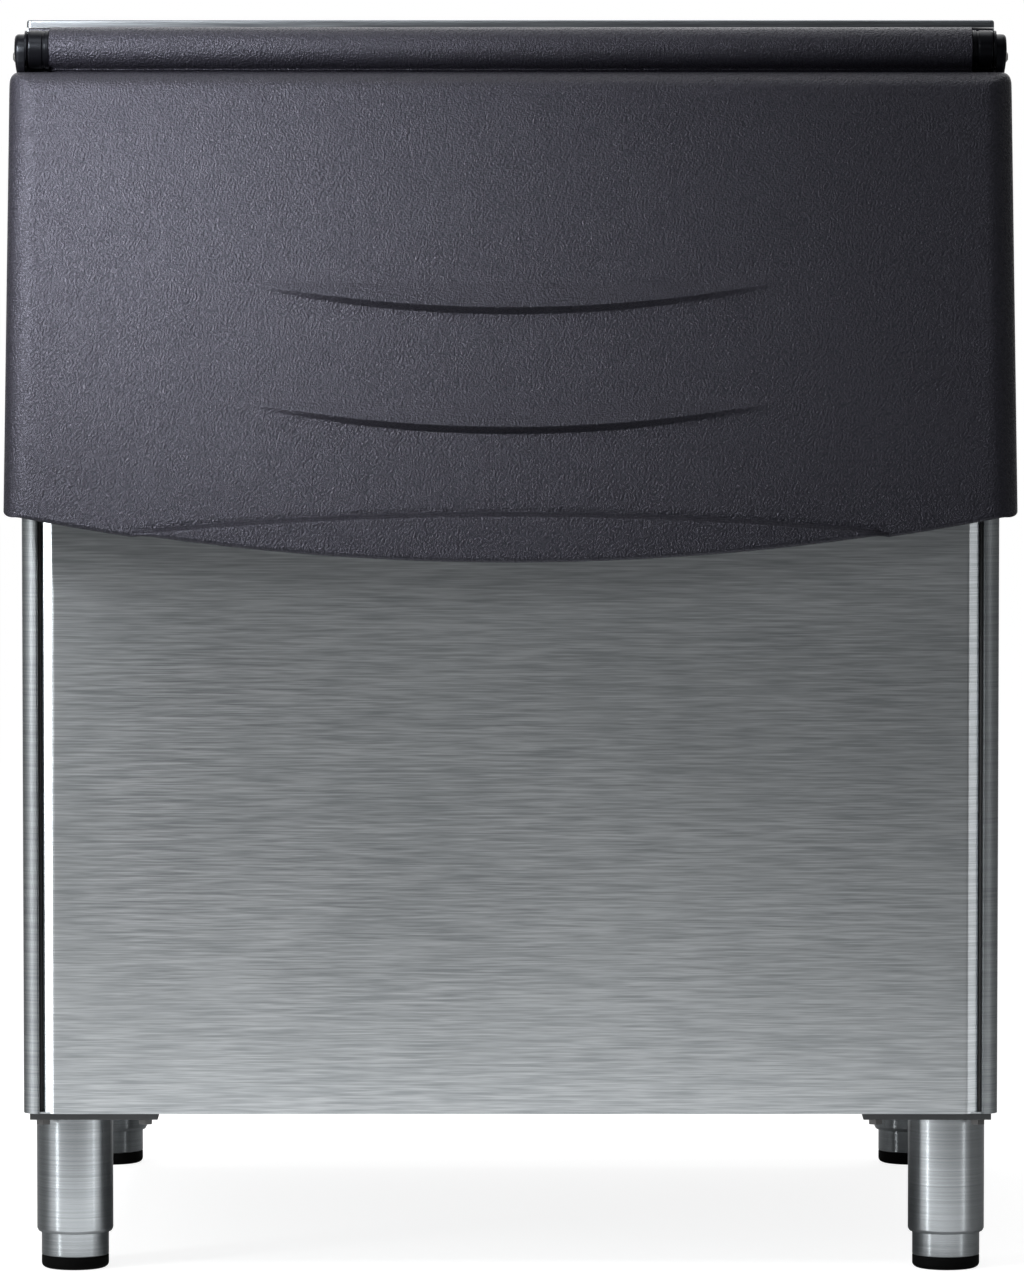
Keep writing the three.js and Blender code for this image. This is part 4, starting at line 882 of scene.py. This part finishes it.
def leg(word, x, y):
    """A turned leg tube with an eased lower edge and a web inside, and its foot: a
    sleeve with a stud, whose thread is a zigzag of its radius, and a rubber pad."""
    base = np.array([x, y, 0])
    top, web, outer, inner = 121.4, 65.4, 30, 28
    tube = rounded(
        [[inner, 29], [28.8, 29], [outer, 31.2], [outer, top], [0.01, top], [0.01, top - 2],
         [inner, top - 2], [inner, web + 12], [8.3, web + 12], [8.3, web], [inner, web]],
        [0.3, 0.5, 2.4, 0.4, 0, 0, 0.3, 0.3, 0.3, 0.3, 0.3], 4)
    piece(f"leg_sleeve_{word}", [patch(turned(tube) + base, loop_rows=True, loop_columns=True)],
          "cabinet", LEG_STEEL, (f"leg_tube_{word}",))
    thread = np.arange(23, 107, 0.75)
    ridge = np.column_stack([8 - 0.45 * (np.arange(len(thread)) % 2), thread])
    sleeve = rounded([[0, 10.3], [FOOT, 10.3], [FOOT, 53.4], [24, 53.4], [24, 12.8], [8, 12.8]],
                     [0, 0.8, 0.5, 0.5, 0.3, 0], 4, False)
    foot = apart(np.vstack([[[0, 10.3]], sleeve, ridge, [[7, 107.4], [0, 107.4]]]))
    piece(f"foot_tube_{word}", [patch(turned(foot) + base, loop_columns=True)],
          f"foot_{word}", LEG_STEEL, (f"foot_sleeve_{word}",))
    pad = rounded([[0, 0], [FOOT, 0], [FOOT, 10], [0, 10]], [0, 4, 0.7, 0], 6, False)
    piece(f"foot_cap_{word}", [patch(turned(pad) + base, loop_columns=True)],
          f"foot_{word}", PAD_RUBBER, (f"foot_pad_{word}",))


door_face()
door_roll()
door_liner()
door_fill()
door_seal()
cabinet_skins()
deck()
for word, side in (("left", -1), ("right", 1)):
    hinge(side, word)
    leg(f"front_{word}", LEG_X * side, LEG_FRONT)
    leg(f"back_{word}", LEG_X * side, LEG_BACK)
    for end in ("front", "back"):
        smoothed_copy(f"leg_plate_{end}_{word}", f"leg_flange_{end}_{word}", "cabinet",
                      PLATE_STEEL, 0.5)
smoothed_copy("bin_liner", "liner_tub", "cabinet", LINER_WHITE)
smoothed_copy("opening_frame", "mouth_frame", "cabinet", FRAME_PLASTIC,
              0.6)
smoothed_copy("back_panel", "back_skin", "cabinet", GALVANISED)
smoothed_copy("base_pan", "base_skin", "cabinet", GALVANISED)
smoothed_copy("drain_spigot", "drain_pipe", "cabinet", LINER_WHITE)
smoothed_copy("drain_nut", "drain_ring", "cabinet", LINER_WHITE, 0.5)
smoothed_copy("drain_strainer", "drain_grate", "cabinet", LINER_WHITE, 0.2)

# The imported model's own parts: its bolts, hinge pins and foam stay in view, and the rest
# are hidden by the pieces that stand for them

for name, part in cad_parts.items():
    part.data.materials.clear()
    # The leg bolts take the zinc that is painted dark as shade
    if name.startswith("leg_bolt"):
        part.data.materials.append(BOLT_ZINC)
    elif name.startswith(("hinge_pin", "bracket_screw")):
        part.data.materials.append(ZINC)
    elif name == "foam_insulation":
        part.data.materials.append(FOAM)
    else:
        part.data.materials.append(STEEL)


# Studio

# Pool of light on the floor, as the metal shows it: its centre and half lengths in
# metres and its strength. Then the floor's own glow to the camera and its tone.
POOL_CENTRE, POOL_REACH, POOL_LIGHT = (-0.25, -0.57, 0), (1.5, 0.32, 1), 2.3
FLOOR_GLOW, FLOOR_TONE = 0.86, (0.4, 0.4, 0.4, 1)


def floor():
    """A wide pale floor, white to the camera, that keeps the object's shadow. In the
    metal it shows a pool of light in front of the bin, and is dark under and far from
    it: the pool fades with the length of the way from its centre, each axis divided by
    the pool's reach."""
    wide = 60
    mesh = bpy.data.meshes.new("floor")
    mesh.from_pydata([(-wide, -wide, 0), (wide, -wide, 0), (wide, wide, 0), (-wide, wide, 0)],
                     [], [(0, 1, 2, 3)])
    made = bpy.data.objects.new("floor", mesh)
    bpy.context.scene.collection.objects.link(made)
    material, tree, shader = finish("pale_floor")
    tree.nodes.remove(shader)
    place = node(tree, "ShaderNodeTexCoord").outputs["Object"]
    shift = node(tree, "ShaderNodeVectorMath", {0: place, 1: POOL_CENTRE}, operation="SUBTRACT")
    ratio = node(tree, "ShaderNodeVectorMath", {0: shift.outputs[0], 1: POOL_REACH},
                 operation="DIVIDE")
    far = node(tree, "ShaderNodeVectorMath", {0: ratio.outputs[0]}, operation="LENGTH")
    pool = node(tree, "ShaderNodeMapRange", {
        "Value": far.outputs["Value"], "From Min": 0.2, "From Max": 1.0,
        "To Min": POOL_LIGHT, "To Max": 0.01}, interpolation_type="SMOOTHSTEP").outputs[0]
    path = node(tree, "ShaderNodeLightPath").outputs
    seen = math_node(tree, "ADD", path["Is Glossy Ray"], path["Is Transmission Ray"])
    glow = math_node(tree, "ADD",
                     math_node(tree, "MULTIPLY", path["Is Camera Ray"], FLOOR_GLOW),
                     math_node(tree, "MULTIPLY", seen, pool))
    light = node(tree, "ShaderNodeEmission", {"Color": (1, 1, 1, 1), "Strength": glow})
    matt = node(tree, "ShaderNodeBsdfDiffuse", {"Color": FLOOR_TONE})
    both = node(tree, "ShaderNodeAddShader", {0: light.outputs[0], 1: matt.outputs[0]})
    tree.links.new(both.outputs[0], tree.nodes["Material Output"].inputs[0])
    mesh.materials.append(material)


# Place round the compass, from behind through left, front and right, and its level;
# the same higher up; and the ceiling's level
SCREENS = [
    (0.0, 1.0), (0.05, 1.0), (0.10, 0.05), (0.20, 0.06), (0.24, 0.90), (0.28, 0.90),
    (0.33, 0.10), (0.40, 0.05), (0.445, 0.06), (0.475, 0.05), (0.51, 0.01), (0.56, 0.02),
    (0.60, 0.05), (0.63, 0.9), (0.66, 0.3), (0.70, 0.08), (0.73, 0.35), (0.76, 0.30),
    (0.79, 0.03), (0.90, 0.04), (0.95, 1.0), (1.0, 1.0),
]
UPPER_SCREENS = [
    (0.0, 1.0), (0.12, 0.8), (0.20, 0.30), (0.30, 0.30), (0.42, 0.06), (0.50, 0.02),
    (0.60, 0.02), (0.70, 0.15), (0.80, 0.25), (0.90, 0.8), (1.0, 1.0),
]
CEILING = 0.3


def ramp_node(tree, value, stops):
    """A grey ramp through pairs of place and level."""
    made = node(tree, "ShaderNodeValToRGB", {0: value})
    made.color_ramp.interpolation = "EASE"
    elements = made.color_ramp.elements
    for _ in stops[2:]:
        elements.new(0.5)
    for element, (place, level) in zip(elements, stops):
        element.position, element.color = place, (level, level, level, 1)
    return made.outputs[0]


def studio_walls():
    """The room by direction: white to the camera. To everything else it has pale and
    dark screens round the bin, which give way higher up to a pale back wall and a dim
    ceiling. The place round the compass is one half plus the angle over a full turn."""
    world = bpy.data.worlds.new("studio")
    bpy.context.scene.world = world
    world.use_nodes = True
    tree = world.node_tree
    way = node(tree, "ShaderNodeSeparateXYZ", {
        0: node(tree, "ShaderNodeTexCoord").outputs["Generated"]}).outputs
    back = math_node(tree, "MULTIPLY", way["Y"], -1.0)
    turn = math_node(tree, "MULTIPLY_ADD", math_node(tree, "ARCTAN2", way["X"], back),
                     0.5 / math.pi, 0.5)
    low, high = ramp_node(tree, turn, SCREENS), ramp_node(tree, turn, UPPER_SCREENS)
    rise = node(tree, "ShaderNodeMapRange", {
        "Value": way["Z"], "From Min": 0.12, "From Max": 0.45}, interpolation_type="SMOOTHSTEP")
    top = node(tree, "ShaderNodeMapRange", {
        "Value": way["Z"], "From Min": 0.70, "From Max": 0.92}, interpolation_type="SMOOTHSTEP")
    walls = node(tree, "ShaderNodeMix", {0: rise.outputs[0], 2: low, 3: high}).outputs[0]
    room = node(tree, "ShaderNodeMix", {0: top.outputs[0], 2: walls, 3: CEILING}).outputs[0]
    path = node(tree, "ShaderNodeLightPath").outputs
    level = node(tree, "ShaderNodeMix", {0: path["Is Camera Ray"], 2: room, 3: 1.0}).outputs[0]
    tree.links.new(level, tree.nodes["Background"].inputs["Strength"])
    tree.nodes["Background"].inputs["Color"].default_value = (1, 1, 1, 1)


def lamp(name, place, aim, width, height, level, spread=180):
    """A soft rectangular lamp at a place in metres, facing another. Its power in watts
    is pi times its area times its level, so that a lamp's size and place change where
    its light falls and its level alone how bright its surface is."""
    data = bpy.data.lights.new(name, "AREA")
    data.shape, data.size, data.size_y = "RECTANGLE", width, height
    data.energy, data.spread = math.pi * width * height * level, math.radians(spread)
    made = bpy.data.objects.new(name, data)
    bpy.context.scene.collection.objects.link(made)
    made.location = place
    away = made.location - Vector(aim)
    made.rotation_euler = away.to_track_quat("Z", "Y").to_euler()
    made.visible_camera = False


floor()
studio_walls()

# Lamps: place, aim, width and height in metres, level, and spread in degrees

lamp("key_left", (-0.74, -0.92, 1.25), (-0.34, -0.28, 0.86), 0.42, 0.32, 9.6, 60)
lamp("above_left", (-0.6, -1.25, 2.5), (-0.1, -0.33, 0.5), 0.9, 0.6, 1.6, 90)
lamp("behind_high", (0, 1.7, 2.0), (0, -0.24, 0.97), 2.4, 0.3, 2.6)
lamp("strip_left", (-2.12, -1.65, 1.1), (-0.36, -0.33, 0.5), 0.32, 2.2, 11)
lamp("strip_right", (2.12, -1.65, 0.2), (0.36, -0.33, 0.2), 0.30, 0.4, 3.6)
lamp("front_high", (-0.30, -3.5, 2.0), (0.98, -0.33, 0.3), 2.0, 1.1, 0.15, 56)
lamp("top_soft", (0.1, 0.6, 2.6), (0, 0, 0.8), 1.4, 1.2, 2.0)
